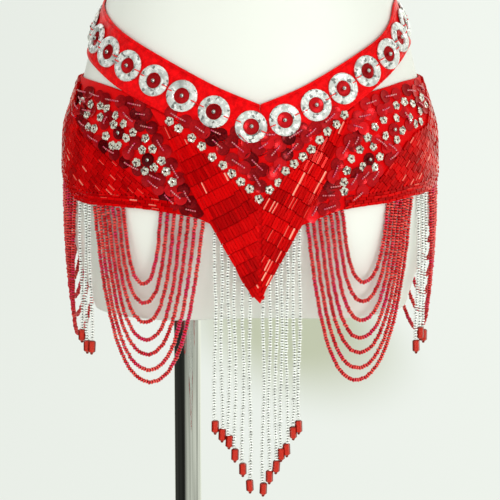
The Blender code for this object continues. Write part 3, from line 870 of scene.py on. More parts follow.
def drop_material(colours):
    """Acrylic, moulded to a six-sided drop.

    Clear brick red in the middle of a side, with a plain gloss. The dark along its edges and ends
    is painted shade."""
    return two_tone("acrylic_moulded", [0.16 * c for c in colours.drop], colours.drop, {
        "Roughness": 0.12, "Specular Tint": (1.0, 0.5, 0.4, 1.0), "Coat Weight": 0.3,
    })


def stem_material(colours):
    """Rainbow-coated soda glass, drawn and chopped small.

    The coating turns from pale gold to pink from bead to bead. The deeper pink at each bead's
    mouths is painted shade."""
    return two_tone("soda_glass_rainbow_coated", colours.seed_pink, colours.stem, {
        "Roughness": 0.15, "IOR": 1.52, "Coat Weight": 1.0, "Coat Roughness": 0.05,
        "Metallic": 0.4,
    })


def sequin_material(colours):
    """Metallised PET foil, punched and cupped.

    A mirror-like red face that goes nearly black where it turns away from the light."""
    return two_tone("pet_foil_cupped", colours.sequin_dark, colours.sequin_light, {
        "Roughness": 0.24, "Metallic": 0.4, "Specular Tint": (1.0, 0.2, 0.2, 1.0),
        "Coat Weight": 0.03, "Coat Roughness": 0.08,
    })


def stone_material(name, white, cell, dark_share, grey_most, metallic):
    """Foil-backed acrylic or metallised plastic, moulded with facets.

    Facets return white light or show the dark room, and fine veins cross them. The dark and grey
    facets are painted reflections in the base colour."""
    material, tree, shader = new_material(name, {
        "Roughness": 0.16, "Metallic": metallic, "Coat Weight": 1.0, "Coat Roughness": 0.05,
    })
    place = add_node(tree, "TexCoord").outputs["Object"]
    facets = add_node(tree, "TexVoronoi", None, {
        "Vector": place, "Scale": 1.0 / (cell * MM),
    })
    # Painted reflection: each sector of facets is greyed by its tint.
    painted_sector_shade = add_node(tree, "MapRange", None, {
        "Value": add_node(tree, "Attribute", {"attribute_name": "tint"}).outputs["Fac"],
        "From Min": 0.45, "From Max": 1.0, "To Min": 0.0, "To Max": 0.62,
    })
    tone = add_node(tree, "SeparateColor", None, {"Color": facets.outputs["Color"]})
    # Painted reflection: cells turn grey, up to grey_most.
    soft = add_node(tree, "MapRange", None, {
        "Value": tone.outputs["Red"], "From Min": 0.3, "From Max": 1.0,
        "To Min": 0.0, "To Max": grey_most,
    })
    # Painted reflection: a share of the cells goes nearly black, as facets that mirror the dark
    # room.
    dark = add_node(tree, "MapRange", None, {
        "Value": tone.outputs["Green"], "From Min": 1.0 - dark_share, "From Max": 1.02 - dark_share,
        "To Min": 0.0, "To Max": 0.82,
    })
    veins = add_node(tree, "TexNoise", None, {
        "Vector": place, "Scale": 1.0 / (0.6 * cell * MM), "Detail": 4.0, "Distortion": 1.5,
    })
    grey = add_node(tree, "MapRange", None, {
        "Value": veins, "From Min": 0.5, "From Max": 0.72,
        "To Min": 0.0, "To Max": 0.7,
    })
    shade = dark
    for other in (grey, soft, painted_sector_shade):
        shade = add_node(tree, "Math", {"operation": "MAXIMUM"}, {0: shade, 1: other})
    colour = add_node(tree, "Mix", {"data_type": "RGBA"}, {
        MIX_FACTOR: shade, MIX_A: rgba(white), MIX_B: rgba(white, 0.05),
    })
    set_inputs(shader, {"Base Color": colour})
    return material


def chrome_material(colours):
    """Chromium-plated steel, polished.

    A clear mirror with a few faint rubbed patches."""
    material, tree, shader = new_material("steel_chromium_plated", {
        "Base Color": rgba(colours.chrome), "Metallic": 1.0,
    })
    rubbed = add_node(tree, "TexNoise", None, {
        "Vector": add_node(tree, "TexCoord").outputs["Object"],
        "Scale": 1.0 / (60.0 * MM), "Detail": 6.0,
    })
    roughness = add_node(tree, "MapRange", None, {
        "Value": rubbed, "From Min": 0.35, "From Max": 0.75,
        "To Min": 0.05, "To Max": 0.13,
    })
    set_inputs(shader, {"Roughness": roughness})
    return material


def form_material(colours):
    """Glass-fibre shell, moulded and sprayed satin white.

    Nearly white with a faint orange-peel surface."""
    material, tree, shader = new_material("glass_fibre_moulded_sprayed", {
        "Roughness": 0.38, "Coat Weight": 0.2, "Coat Roughness": 0.3,
    })
    place = add_node(tree, "TexCoord").outputs["Object"]
    tone = add_node(tree, "TexNoise", None, {
        "Vector": place, "Scale": 1.0 / (80.0 * MM), "Detail": 3.0,
    })
    colour = add_node(tree, "Mix", {"data_type": "RGBA"}, {
        MIX_FACTOR: tone, MIX_A: rgba(colours.form, 0.94), MIX_B: rgba(colours.form),
    })
    set_inputs(shader, {"Base Color": colour})
    peel = add_node(tree, "TexNoise", None, {"Vector": place, "Scale": 1.0 / (2.5 * MM)})
    bump = add_node(tree, "Bump", None, {
        "Strength": 0.15, "Distance": 0.1 * MM, "Height": peel,
    })
    set_inputs(shader, {"Normal": bump})
    return material


def plain_material(name, colour, roughness, grain, metallic=0.0):
    """Even material with a slight grain of the given size in millimetres."""
    contrast = 0.12
    material, tree, shader = new_material(name, {
        "Roughness": roughness, "Metallic": metallic, "Specular IOR Level": 0.3,
    })
    noise = add_node(tree, "TexNoise", None, {
        "Vector": add_node(tree, "TexCoord").outputs["Object"],
        "Scale": 1.0 / (grain * MM), "Detail": 3.0,
    })
    mixed = add_node(tree, "Mix", {"data_type": "RGBA"}, {
        MIX_FACTOR: noise, MIX_A: rgba(colour, 1.0 - contrast),
        MIX_B: rgba(colour, 1.0 + contrast),
    })
    set_inputs(shader, {"Base Color": mixed})
    return material


def creased(rows, angle, height):
    """Rise of the soft creases of a table at places on the cloth."""
    rise = np.zeros(np.broadcast(angle, height).shape)
    for a, h, length, width, depth, turn in zip(*rows.values()):
        along, up = (angle - a) * BAND_DEGREE, height - h
        cos, sin = math.cos(math.radians(turn)), math.sin(math.radians(turn))
        u, v = cos * along + sin * up, cos * up - sin * along
        rise += depth * np.exp(-((u / (0.5 * length)) ** 2) - (v / (0.5 * width)) ** 2)
    return rise


def cloth_shell(name, ends, profile, lift, creases):
    """Thin closed shell of cloth. Ends are four rows: the angle and height of each column's lower
    and upper end. A profile row is a share of the way up, a shift in millimetres and a rise."""
    low_angle, low, high_angle, high = (row[:, None] for row in ends)
    share, shift, rise = np.array(profile, dtype=float).T
    way = share + shift / (high - low)
    angle = low_angle + (high_angle - low_angle) * way
    height = low + (high - low) * way
    shown = rise > 0.5 * CLOTH
    out = lift(angle) + rise + shown * creased(creases, angle, height)
    points = cloth_points(angle, height, out)
    steps = np.linalg.norm(np.diff(points[:, 0], axis=0), axis=-1)
    lengths = np.stack((
        np.broadcast_to(np.concatenate(([0.0], np.cumsum(steps)))[:, None], angle.shape),
        height,
    ), axis=-1)
    return grid_mesh(name, points, closed=True, lengths=lengths)


def profile_rows(foot, body, head, inner_rise):
    """Profile of a cloth shell, from its lower edge over the face to the upper edge and back."""
    face = [(share, 0.0, CLOTH) for share in body]
    inside = [(share, 0.0, inner_rise) for share in body[::-1]]
    return [*foot, *face, *head, *inside]


def cut_size(points_low, points_high):
    """Width, length and area of a panel's cut, in metres, from its lower and upper edge. The
    rectangle is the smaller of a strip along the edges and an upright one round the panel."""
    def run(points):
        return np.linalg.norm(np.diff(points, axis=0), axis=-1).sum()
    rise = np.linalg.norm(points_high - points_low, axis=-1)
    strip = max(run(points_low), run(points_high)), rise.max()
    upright = run(points_high[:, :2]), points_high[:, 2].max() - points_low[:, 2].min()
    flat = min(strip, upright, key=math.prod)
    across = np.cross(points_high[1:] - points_low[:-1], points_high[:-1] - points_low[1:])
    area = 0.5 * np.linalg.norm(across, axis=-1).sum()
    return tuple(float(length * MM) for length in flat), float(area * MM * MM)


def declare_sheet(ends, lift):
    """Work out how large the cloth's cut is; the sizes are not passed on."""
    low_angle, low, high_angle, high = ends
    flat, area = cut_size(
        cloth_points(low_angle, low, lift(low_angle) + CLOTH),
        cloth_points(high_angle, high, lift(high_angle) + CLOTH),
    )


def signed_ends(side, low_angle, low, high_angle, high):
    """Ends of a side's columns from the viewer's left to right."""
    ends = [side * low_angle, low, side * high_angle, high]
    return [row[::-1] for row in ends] if side == LEFT else ends


def band_ends(side, count=200):
    """Columns of half of the waistband."""
    angle = np.linspace(FRONT_SEAM, BACK_SEAM, count)
    low = smooth(BAND[side], "bottom", angle)
    return signed_ends(side, angle, low, angle, smooth(BAND[side], "top", angle))


def hip_ends(side, count=200):
    """Columns of a hip panel with its hem."""
    low_angle = np.linspace(HEM[side]["angle"][0], BACK_SEAM, count)
    high_angle = np.linspace(PANEL_TOP[side]["angle"][0], BACK_SEAM, count)
    return signed_ends(
        side, low_angle, smooth(HEM[side], "height", low_angle),
        high_angle, smooth(PANEL_TOP[side], "height", high_angle),
    )


def v_ends(count=121):
    """Columns of the V panel, from shoulder to shoulder."""
    def reach(side):
        tries = np.arange(0.0, V_EDGE[side]["angle"][-1], 0.1) * side
        room = outline(BAND, tries, "bottom") - outline(V_EDGE, tries)
        return tries[room >= SHOULDER_LEAST][-1]
    half = count // 2 + 1
    left, right = np.linspace(reach(LEFT), 0.0, half), np.linspace(0.0, reach(RIGHT), half)
    angle = np.concatenate((left, right[1:]))
    return [angle, outline(V_EDGE, angle), angle, outline(BAND, angle, "bottom") - SEAM]


def arc_lengths(section=100.0, out=3.0):
    """Angles round the form and the millimetres of cloth up to each."""
    angle = np.linspace(0.0, 180.0, 721)
    steps = np.linalg.norm(np.diff(cloth_points(angle, section, out), axis=0), axis=-1)
    return angle, np.concatenate(([0.0], np.cumsum(steps)))


def on_arc(along, lengths_at):
    """Signed angles at signed millimetres along the cloth."""
    angles, lengths = lengths_at
    return np.sign(along) * np.interp(np.abs(along), lengths, angles)


def sewn_rows(inside, along_range, height_range, turn, pitch, row_pitch, rng, block=4, stagger=0.0):
    """Angle, height, length and block shade of long beads that fill a field side by side in
    blocks of columns, turned by degrees and cut short where the field ends. Every other block is
    staggered by a share of a row."""
    step, shortest, gap = 0.4, 3.2, 0.25
    corners = np.array([(a, h) for a in along_range for h in height_range])
    cos, sin = math.cos(math.radians(turn)), math.sin(math.radians(turn))
    reach, rows = corners @ np.array((cos, sin)), corners @ np.array((-sin, cos))
    u = np.arange(reach.min(), reach.max(), step)
    lengths_at = arc_lengths()
    beads = []
    for column, v in enumerate(np.arange(rows.min(), rows.max(), pitch)):
        if column % block == 0:
            shift = rng.uniform(-1.0, 1.0) + stagger * row_pitch * (column // block % 2)
        along, height = cos * u - sin * v, sin * u + cos * v
        kept = np.flatnonzero(inside(on_arc(along, lengths_at), height))
        if len(kept) == 0:
            continue
        cell = np.floor((u[kept] + shift) / row_pitch)
        cuts = np.flatnonzero((np.diff(kept) > 1) | (np.diff(cell) > 0)) + 1
        runs = []
        for run in np.split(kept, cuts):
            low, high = u[run[0]] - 0.5 * step, u[run[-1]] + 0.5 * step
            touching = runs and low - runs[-1][1] < step
            if touching and min(high - low, runs[-1][1] - runs[-1][0]) < shortest:
                runs[-1][1] = high
            else:
                runs.append([low, high])
        for low, high in runs:
            if high - low < 0.6 * shortest:
                continue
            middle = 0.5 * (low + high)
            shade = math.sin(12.9 * (column // block) + 7.7 * math.floor(middle / row_pitch))
            beads.append((cos * middle - sin * v, sin * middle + cos * v, high - low - gap, shade))
    along, height, length, shade = np.array(beads).T
    return on_arc(along, lengths_at), height, length, shade


def on_v(side, angle, height):
    """True where a place lies on a half of the V panel below its row of flowers."""
    at = np.clip(angle, V_FLOWERS["angle"][0], V_FLOWERS["angle"][-1])
    flowers = np.interp(at, V_FLOWERS["angle"], V_FLOWERS["height"]) - 4.4
    inside = (height > outline(V_EDGE, angle) + 0.1) & (height < flowers)
    inside = inside & (height < outline(BAND, angle, "bottom") - 1.6)
    return inside & (side * angle > 0.42) & (side * angle < 31.0)


def on_hip(side, angle, height):
    """True where a place lies on a hip panel's field of slanting long beads."""
    at = side * angle
    low = np.where(at > HEM[side]["angle"][0], smooth(HEM[side], "height", at), 999.0)
    top = smooth(PANEL_TOP[side], "height", at) - 2.0
    high = np.minimum(top, smooth(FIELD_TOP[side], "height", at))
    inside = (height > low + HEM_ROWS * HEM_PITCH + 0.2) & (height < high)
    return inside & (at > FIELD_TOP[side]["angle"][0]) & (at < 179.3)


def bugle_shape(sizes):
    """Square-cut long bead with chamfered edges and ends, along X."""
    half, r = 0.5 * sizes.bugle_length / MM, 0.5 * sizes.bugle_width / MM
    chamfer, flat = 0.35, 0.8
    square = np.array((
        (1, -flat), (1, flat), (flat, 1), (-flat, 1),
        (-1, flat), (-1, -flat), (-flat, -1), (flat, -1),
    ))
    profile = (0.7 * r, -half), (r, chamfer - half), (r, half - chamfer), (0.7 * r, half)
    return along_x(turned(profile, square))


# Half profiles of small beads, from a mouth to the middle: share of the radius and of the length.
TUMBLED = ((0.6, -1.0), (0.68, -0.72), (0.98, -0.4))
NECKED = ((0.26, -1.0), (0.26, -0.66), (0.95, -0.46), (1.0, 0.0))


def small_bead(half_profile, radius, pitch, sides=8):
    """Small bead along X, the same from both of its mouths."""
    back = [(r, -x) for r, x in half_profile[::-1] if x < 0.0]
    profile = [(radius * r, 0.5 * pitch * x) for r, x in (*half_profile, *back)]
    return along_x(turned(profile, sides))


def painted_mouth_shade(tint, sides=8, light=2):
    """Tints of small beads' points, dark at the rings by the mouths where the thread goes in:
    painted shade where neighbouring beads meet.
    """
    return tint[:, None] * np.repeat((0.0, 0.0, *[1.0] * light, 0.0, 0.0), sides)


def strung(path, pitch, rng, wander, tilt=5.0):
    """Places of beads strung along a path of points, a pitch apart, X along the path.

    They wander off it sideways more than along it, where their neighbours hold them."""
    runs = np.linalg.norm(np.diff(path, axis=0), axis=-1)
    length = np.concatenate(([0.0], np.cumsum(runs)))
    at = np.arange(0.5 * pitch, length[-1], pitch)

    def on_path(places):
        return np.stack([np.interp(places, length, path[:, k]) for k in range(3)], axis=-1)

    origins = on_path(at)
    ahead = unit(on_path(at + 0.5 * pitch) - on_path(at - 0.5 * pitch))
    side = unit(np.cross(ahead, (0.31, 0.90, 0.30)))
    axes = tipped(np.stack((ahead, side, np.cross(ahead, side)), axis=1), rng, tilt)
    stray = np.clip(rng.normal(0.0, 1.0, origins.shape), -1.5, 1.5) * (0.3, 1.0, 1.0)
    return origins + np.einsum("ni,nij->nj", wander * stray, axes), axes


def catenary(span, depth, steps=60):
    """Shares of the span along a hanging loop, and heights above its lowest point."""
    low, high = span / 40.0, span * 4.0
    for _ in range(60):
        scale = 0.5 * (low + high)
        if scale * (math.cosh(span / (2.0 * scale)) - 1.0) > depth:
            low = scale
        else:
            high = scale
    steepest = math.atan(math.sinh(span / (2.0 * scale)))
    turn = np.linspace(-steepest, steepest, steps + 1)
    across = scale * np.arcsinh(np.tan(turn))
    return 0.5 + across / span, scale * (1.0 / np.cos(turn) - 1.0)


def loop_path(side, roots, bottom):
    """Points of one bead loop between two roots on the hem."""
    roots = np.array(roots)
    heights = smooth(HEM[side], "height", roots)
    ends = cloth_points(side * roots, heights, STRAND_OUT)
    along = cloth_points(side * np.linspace(*roots, 9), heights[0], STRAND_OUT)
    span = np.linalg.norm(np.diff(along, axis=0), axis=-1).sum()
    middle = heights.mean()
    share, rise = catenary(span, middle - bottom)
    level = bottom + rise + (heights[0] - middle) * (1 - share) + (heights[1] - middle) * share
    places = cloth_points(side * (roots[0] + (roots[1] - roots[0]) * share), level, STRAND_OUT)
    pull = CHORD_PULL * np.clip((PULL_FROM - level) / (PULL_FROM - PULL_TO), 0.0, 1.0)
    chord = ends[0] + (ends[1] - ends[0]) * share[:, None]
    places[:, :2] += pull[:, None] * (chord - places)[:, :2]
    return places


def runs_of_tint(count, rng):
    """Tints that drift along a strand in short runs of like beads."""
    drift = np.cumsum(rng.normal(0.0, 0.16, count))
    wave = 0.76 + 0.14 * np.sin(drift + rng.uniform(0.0, 6.3))
    return np.clip(wave + rng.normal(0.0, 0.2, count), 0.3, 1.0)


class BeltOperator:
    """What the belt's operators share."""

    bl_options = {"REGISTER", "UNDO"}

    @property
    def sizes(self):
        """Sizes that the user may change."""
        return bpy.context.scene.belt_sizes

    @property
    def colours(self):
        """Colours that the user may change."""
        return bpy.context.scene.belt_colours


class BELT_OT_dress_form(BeltOperator, bpy.types.Operator):
    """Smooth moulded shell that the belt is worn on."""

    bl_idname = "belt.dress_form"
    bl_label = "Dress form"

    def execute(self, context):
        crown = (302, 308, 312, 316, 319, 322, 324.5, 326)
        heights = np.concatenate((np.linspace(-52, 296, 88), crown))
        angle = np.linspace(-180.0, 180.0, 161)[:, None]
        points = plan_points(angle, heights[None], heights[None], 0.0)
        share = np.where(
            np.abs(angle) < HOLLOW_HALF_ANGLE,
            np.cos(np.radians(90.0 * angle / HOLLOW_HALF_ANGLE)) ** 2,
            0.0,
        )
        points[..., 1] += share * smooth(FORM, "hollow", heights, "height")[None]
        foot = points[:, :1] * (0.985, 0.985, 1.0)
        centre, top = (np.tile((0.0, 0.0, points[0, k, 2]), (len(points), 1, 1)) for k in (0, -1))
        points[:, 0, 2] += 1.2
        shell = grid_mesh("form_shell", np.concatenate((centre, foot, points, top), axis=1))
        add_piece(shell, form_material(self.colours), ["dress_form"])
        return {"FINISHED"}


class BELT_OT_stand(BeltOperator, bpy.types.Operator):
    """Round base, pole and flange of chromium-plated steel."""

    bl_idname = "belt.stand"
    bl_label = "Stand"

    def execute(self, context):
        chrome = chrome_material(self.colours)
        bevel = np.radians(np.linspace(0.0, 90.0, 7))
        foot = 0.5
        for node, edge in (("stand_base", 2.4), ("stand_pole", 0.5), ("stand_flange", 1.6)):
            low, high = (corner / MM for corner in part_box(node))
            radius = 0.5 * (high.x - low.x)
            middle = 0.5 * (low + high)
            upper = [(radius - edge + edge * math.cos(a), high.z - edge + edge * math.sin(a))
                     for a in bevel]
            lower = [(radius - foot + foot * math.cos(a), low.z + foot - foot * math.sin(a))
                     for a in bevel[::-3]]
            place = np.array(((middle.x, middle.y, 0.0),)), np.eye(3)[None]
            shape = turned((*lower, *upper), 96)
            mesh = strewn(node.replace("stand", "chrome"), shape, place, sharp=35.0)
            add_piece(mesh, chrome, [node])
        return {"FINISHED"}


class BELT_OT_waistband(BeltOperator, bpy.types.Operator):
    """Satin band in two halves, with turned and stitched edges."""

    bl_idname = "belt.waistband"
    bl_label = "Waistband"

    def execute(self, context):
        satin = satin_material(self.colours)
        # Rows of share, shift and rise. The dips near both edges are lines of stitches.
        foot = [(0, 0.9, 0.2), (0, 0.25, 0.5), (0, 0.0, 1.1), (0, 0.3, 1.75), (0, 1.1, 2.15),
                (0, 1.9, 2.05), (0, 2.5, 1.45), (0, 3.0, 1.75), (0, 3.8, 1.95)]
        head = [(1, -4.2, 1.95), (1, -3.6, 1.6), (1, -3.0, 0.95), (1, -2.5, 1.7), (1, -1.4, 2.3),
                (1, -0.5, 2.1), (1, 0.0, 1.3), (1, -0.25, 0.5), (1, -0.9, 0.2)]
        profile = profile_rows(foot, np.linspace(0.14, 0.86, 14), head, 0.2)
        for side, word in SIDES.items():
            ends = band_ends(side)
            mesh = cloth_shell("satin_band_" + word, ends, profile, band_lift, BAND_CREASES)
            band = add_piece(mesh, satin, ["waistband_" + word])
            declare_sheet(ends, band_lift)
        return {"FINISHED"}


class BELT_OT_panels(BeltOperator, bpy.types.Operator):
    """V panel and hip panels of red cloth, which carry the beads."""

    bl_idname = "belt.panels"
    bl_label = "Cloth panels"

    def execute(self, context):
        drill = backing_material(self.colours)
        # Rows of share, shift and rise, round the turned edges.
        foot = [(0, 0.6, 0.4), (0, 0.15, 0.7), (0, 0.0, 1.2), (0, 0.25, 1.75), (0, 0.9, 2.0)]
        head = [(1, -0.9, 2.0), (1, -0.25, 1.75), (1, 0.0, 1.2), (1, -0.15, 0.7), (1, -0.6, 0.4)]
        profile = profile_rows(foot, np.linspace(0.06, 0.94, 18), head, 0.4)
        for side, word in SIDES.items():
            ends = hip_ends(side)
            mesh = cloth_shell("hip_cloth_" + word, ends, profile, flat_lift, PANEL_CREASES)
            panel = add_piece(mesh, drill, ["hip_panel_" + word])
            declare_sheet(ends, flat_lift)
        ends = v_ends()
        mesh = cloth_shell("v_cloth", ends, profile, band_lift, PANEL_CREASES)
        panel = add_piece(mesh, drill, ["front_v_panel"])
        declare_sheet(ends, band_lift)
        return {"FINISHED"}


class BELT_OT_bugles(BeltOperator, bpy.types.Operator):
    """Fields of cut glass long beads, sewn side by side in rows."""

    bl_idname = "belt.bugles"
    bl_label = "Long beads"

    def lay(self, name, parts, lift, rng, glass, painted_glints):
        """Beads at the places of each part: angle, height, length, shade and turn. Painted glints
        give the share of beads with a painted glint along one edge on the left, on the right, and
        how strong it is."""
        angle, height, length, shade, turn = together(parts)
        count = len(angle)
        half = 0.5 * self.sizes.bugle_width / MM
        out = lift(angle) + CLOTH + 0.9 * half + rng.normal(0.0, 0.1, count)
        places, axes = seats(angle, height, out, turn + rng.normal(0.0, 1.2, count))
        roll = np.radians(rng.normal(0.0, 4.5, count))[:, None]
        x, y, z = axes[:, 0], axes[:, 1], axes[:, 2]
        y, z = np.cos(roll) * y + np.sin(roll) * z, np.cos(roll) * z - np.sin(roll) * y
        lean = np.tan(np.radians(rng.normal(2.6, 1.4, count)))[:, None] * -np.sign(x[:, 2:])
        x = unit(x + lean * z)
        z = unit(np.cross(x, y))
        axes = np.stack((x, np.cross(z, x), z), axis=1)
        axes[:, 0] *= (length * MM / self.sizes.bugle_length)[:, None]
        tint = np.clip(0.5 + 0.32 * shade + rng.normal(0.0, 0.16, count), 0.0, 1.0)
        # Painted glint: a few beads get a pale edge, more of them on the right.
        share = np.where(angle < 0.0, painted_glints[0], painted_glints[1])
        painted_glint = painted_glints[2] * rng.uniform(0.4, 1.2, count) * (rng.random(count) < share)
        one_edge = np.tile((0, 0, 1, 0, 0, 0, 0, 0), 4)
        tint = tint[:, None] + painted_glint[:, None] * one_edge
        mesh = strewn(name, bugle_shape(self.sizes), (places, axes), False, tint=tint)
        add_piece(mesh, glass)

    def hem_rows(self, side):
        """Rows of long beads that run along a hip panel's hem."""
        lengths_at = arc_lengths(50.0)
        length = HIP_BEAD * self.sizes.bugle_length / MM
        start = np.interp(FIELD_TOP[side]["angle"][0], *lengths_at)
        parts = []
        for row in range(HEM_ROWS):
            first = start + 1.0 + length * (0.5 + 0.37 * (row % 3))
            along = np.arange(first, lengths_at[1][-1] - 0.5 * length, length + 0.3)
            at = on_arc(along, lengths_at)
            hem = smooth(HEM[side], "height", at)
            turn = side * np.degrees(np.arctan(np.gradient(hem, at * HEM_DEGREE)))
            height = hem + 1.5 + HEM_PITCH * row
            shade = np.sin(3.1 * row + 0.9 * np.floor(np.arange(len(at)) / 3))
            parts.append((side * at, height, np.full(len(at), length), shade, turn))
        return parts

    def execute(self, context):
        glass = bugle_material(self.colours)
        pitch = self.sizes.bugle_width / MM + 0.04
        length = self.sizes.bugle_length / MM
        rng = np.random.default_rng(11)
        parts = []
        for side, turn in ((LEFT, 119.0), (RIGHT, 61.0)):
            rows = sewn_rows(lambda a, h: on_v(side, a, h), (-110, 110), (-40, 145), turn, pitch,
                             length + 0.7, rng)
            parts.append((*rows, np.full(len(rows[0]), turn)))
        self.lay("v_long_beads", parts, band_lift, rng, glass, V_PAINTED_GLINTS)
        for side, turn in ((LEFT, 143.0), (RIGHT, 44.0)):
            rows = sewn_rows(lambda a, h: on_hip(side, a, h), (side * 50, side * 480), (30, 190),
                             turn, pitch, HIP_BEAD * length + 0.4, rng, block=3, stagger=0.5)
            parts = [(*rows, np.full(len(rows[0]), turn)), *self.hem_rows(side)]
            self.lay("hip_long_beads_" + SIDES[side], parts, flat_lift, rng, glass, HIP_PAINTED_GLINTS)
        return {"FINISHED"}


class BELT_OT_sequins(BeltOperator, bpy.types.Operator):
    """Cupped sequins in pairs with bead stems, single sequins, and silver flowers."""

    bl_idname = "belt.sequins"
    bl_label = "Sequins and flowers"

    def stems(self, name, rows, lift, rng, material):
        """Small beads from the eye of one sequin to the eye of its pair."""
        radius = 0.5 * self.sizes.stem_bead / MM
        pitch = 1.15 * 2.0 * radius
        share = np.linspace(0.0, 1.0, 9)
        arch = 1.0 - (2.0 * share - 1.0) ** 2
        stems = []
        for a, h, to_a, to_h, _ in zip(*rows.values()):
            angle = a + (to_a - a) * share
            out = lift(angle) + CLOTH + 1.7 + 0.9 * arch
            path = cloth_points(angle, h + (to_h - h) * share, out)
            stems.append(strung(path, pitch, rng, 0.05))
        places = together(stems)
        tint = painted_mouth_shade(rng.uniform(0.1, 1.1, len(places[0])), 6)
        mesh = strewn(name, small_bead(TUMBLED, radius, pitch, 6), places, tint=tint)
        add_piece(mesh, material)

    def sequins(self, name, angle, height, shade, lift, rng, foil):
        """Sequins that lie on each other like scales."""
        layer = 0.35 + 0.3 * (np.arange(len(angle)) % 4)
        turn = rng.uniform(0.0, 360.0, len(angle))
        origins, axes = seats(angle, height, lift(angle) + CLOTH + layer, turn)
        size = rng.normal(1.0, 0.03, (len(angle), 1, 1))
        tint = np.clip(shade + rng.normal(0.0, 0.08, len(angle)), 0.0, 1.0)
        places = origins, tipped(axes, rng, 6.0) * size
        cup = sequin_shape(self.sizes.sequin / MM)
        add_piece(strewn(name, cup, places, tint=tint, sharp=50.0), foil)

    def execute(self, context):
        colours = self.colours
        foil = sequin_material(colours)
        rainbow = stem_material(colours)
        silver = stone_material("plastic_metallised_moulded", colours.flower, 1.7, 0.3, 0.2, 0.5)
        rng = np.random.default_rng(23)
        for name, rows, lift in (("v", V_SEQUINS, band_lift), ("hip", HIP_SEQUINS, flat_lift)):
            lone = LONE_SEQUINS if name == "hip" else {"angle": (), "height": (), "shade": ()}
            angle = np.concatenate((rows["angle"], rows["to_angle"], lone["angle"]))
            height = np.concatenate((rows["height"], rows["to_height"], lone["height"]))
            shade = np.concatenate((rows["shade"], 0.15 + rows["shade"], lone["shade"]))
            self.sequins(name + "_sequins", angle, height, shade, lift, rng, foil)
            self.stems(name + "_stems", rows, lift, rng, rainbow)
        flower = flower_shape(self.sizes.flower / MM)
        eye = turned(((0.5, 0.0), (1.0, 0.4), (1.0, 1.0), (0.5, 1.4)), 8)
        for name, rows, lift in (("v", V_FLOWERS, band_lift), ("hip", HIP_FLOWERS, flat_lift)):
            count = len(rows["angle"])
            out = lift(rows["angle"]) + CLOTH + 1.1
            origins, axes = seats(rows["angle"], rows["height"], out, rng.uniform(0.0, 72.0, count))
            places = origins, tipped(axes, rng, 7.0)
            mesh = strewn(name + "_flowers", flower, places, False)
            add_piece(mesh, silver)
            mesh = strewn(name + "_flower_eyes", eye, places, tint=np.full(count, 0.05))
            add_piece(mesh, foil)
        stud = turned(((0.4, 0.0), (1.3, 0.5), (1.8, 1.5), (1.6, 2.6), (0.6, 3.3)), 12)
        out = flat_lift(LONE_SEQUINS["angle"]) + CLOTH + 1.0
        places = seats(LONE_SEQUINS["angle"], LONE_SEQUINS["height"], out)
        mesh = strewn("sequin_studs", stud, places)
        add_piece(mesh, chrome_material(colours))
        return {"FINISHED"}


class BELT_OT_rosettes(BeltOperator, bpy.types.Operator):
    """Ring stones with a sequin and a chrome bead, held by red stitches."""

    bl_idname = "belt.rosettes"
    bl_label = "Ring stones"

    def execute(self, context):
        sizes, colours = self.sizes, self.colours
        radius, hole = 0.5 * sizes.ring / MM, 0.5 * sizes.hole / MM
        stone = stone_material("acrylic_foil_backed_moulded", colours.stone, 2.4, 0.13, 0.5, 0.2)
        foil = sequin_material(colours)
        thread = plain_material("polyester_thread_spun", colours.satin, 0.6, 0.6)
        chrome = chrome_material(colours)
        rng = np.random.default_rng(5)
        cup = sequin_shape(2.0 * hole - 1.1)
        r, round_way = 0.5 * sizes.stud / MM, np.radians((18, 45, 70, 95, 120, 145, 165))
        stud = turned([(r * math.sin(a), r - r * math.cos(a)) for a in round_way], 14)
        # A stitch goes from the ring's slope over its edge and into the cloth.
        stitch = [(radius - 4.4, 0.0, 2.0), (radius - 4.2, 0.0, 2.9), (radius - 2.2, 0.0, 2.8),
                  (radius + 0.2, 0.0, 1.9), (radius + 1.6, 0.0, 0.1), (radius + 1.7, 0.0, -0.4)]
        stitch = tube(stitch, 0.5 * sizes.thread / MM)
        stitches = joined(*(moved(stitch, (0.0, 0.0, 0.0), turn) for turn in (0.0, 180.0)))
        for side, word in SIDES.items():
            at = np.array(ROSETTE_ANGLES[side])
            height = 0.5 * (smooth(BAND[side], "top", at) + smooth(BAND[side], "bottom", at))
            turn = side * np.degrees(np.arctan(np.gradient(height, at * BAND_DEGREE)))
            signed = side * at
            out = band_lift(signed) + CLOTH + SEAT
            origins, axes = seats(signed, height, out, turn)
            spun = seats(signed, height, out, rng.uniform(0.0, 360.0, len(at)))
            nodes = ["rosette_%s_%02d" % (word, number) for number in range(1, len(at) + 1)]
            # Each sector of a stone has one tint, on all of its rings of points: the painted shade
            # of its facets.
            painted_sector_shades = np.tile(rng.random((len(at), STONE_SIDES)), (1, 7))
            ring = faceted_ring(radius, hole, rng)
            mesh = strewn("ring_stones_" + word, ring, spun, False, painted_sector_shades)
            add_piece(mesh, stone, nodes)
            nudge = rng.normal(0.0, 0.25, (len(at), 2))
            shifted = origins + (nudge[:, :1] * axes[:, 0] + nudge[:, 1:] * axes[:, 1])
            shade = np.clip(rng.normal(0.4, 0.15, len(at)), 0.0, 1.0)
            places = shifted, tipped(axes, rng, 3.0)
            mesh = strewn("ring_sequins_" + word, cup, places, tint=shade, sharp=50.0)
            add_piece(mesh, foil)
            mesh = strewn("ring_studs_" + word, stud, (shifted + 0.3 * axes[:, 2], axes))
            add_piece(mesh, chrome)
            mesh = strewn("ring_stitches_" + word, stitches, (origins, axes))
            add_piece(mesh, thread)
        return {"FINISHED"}


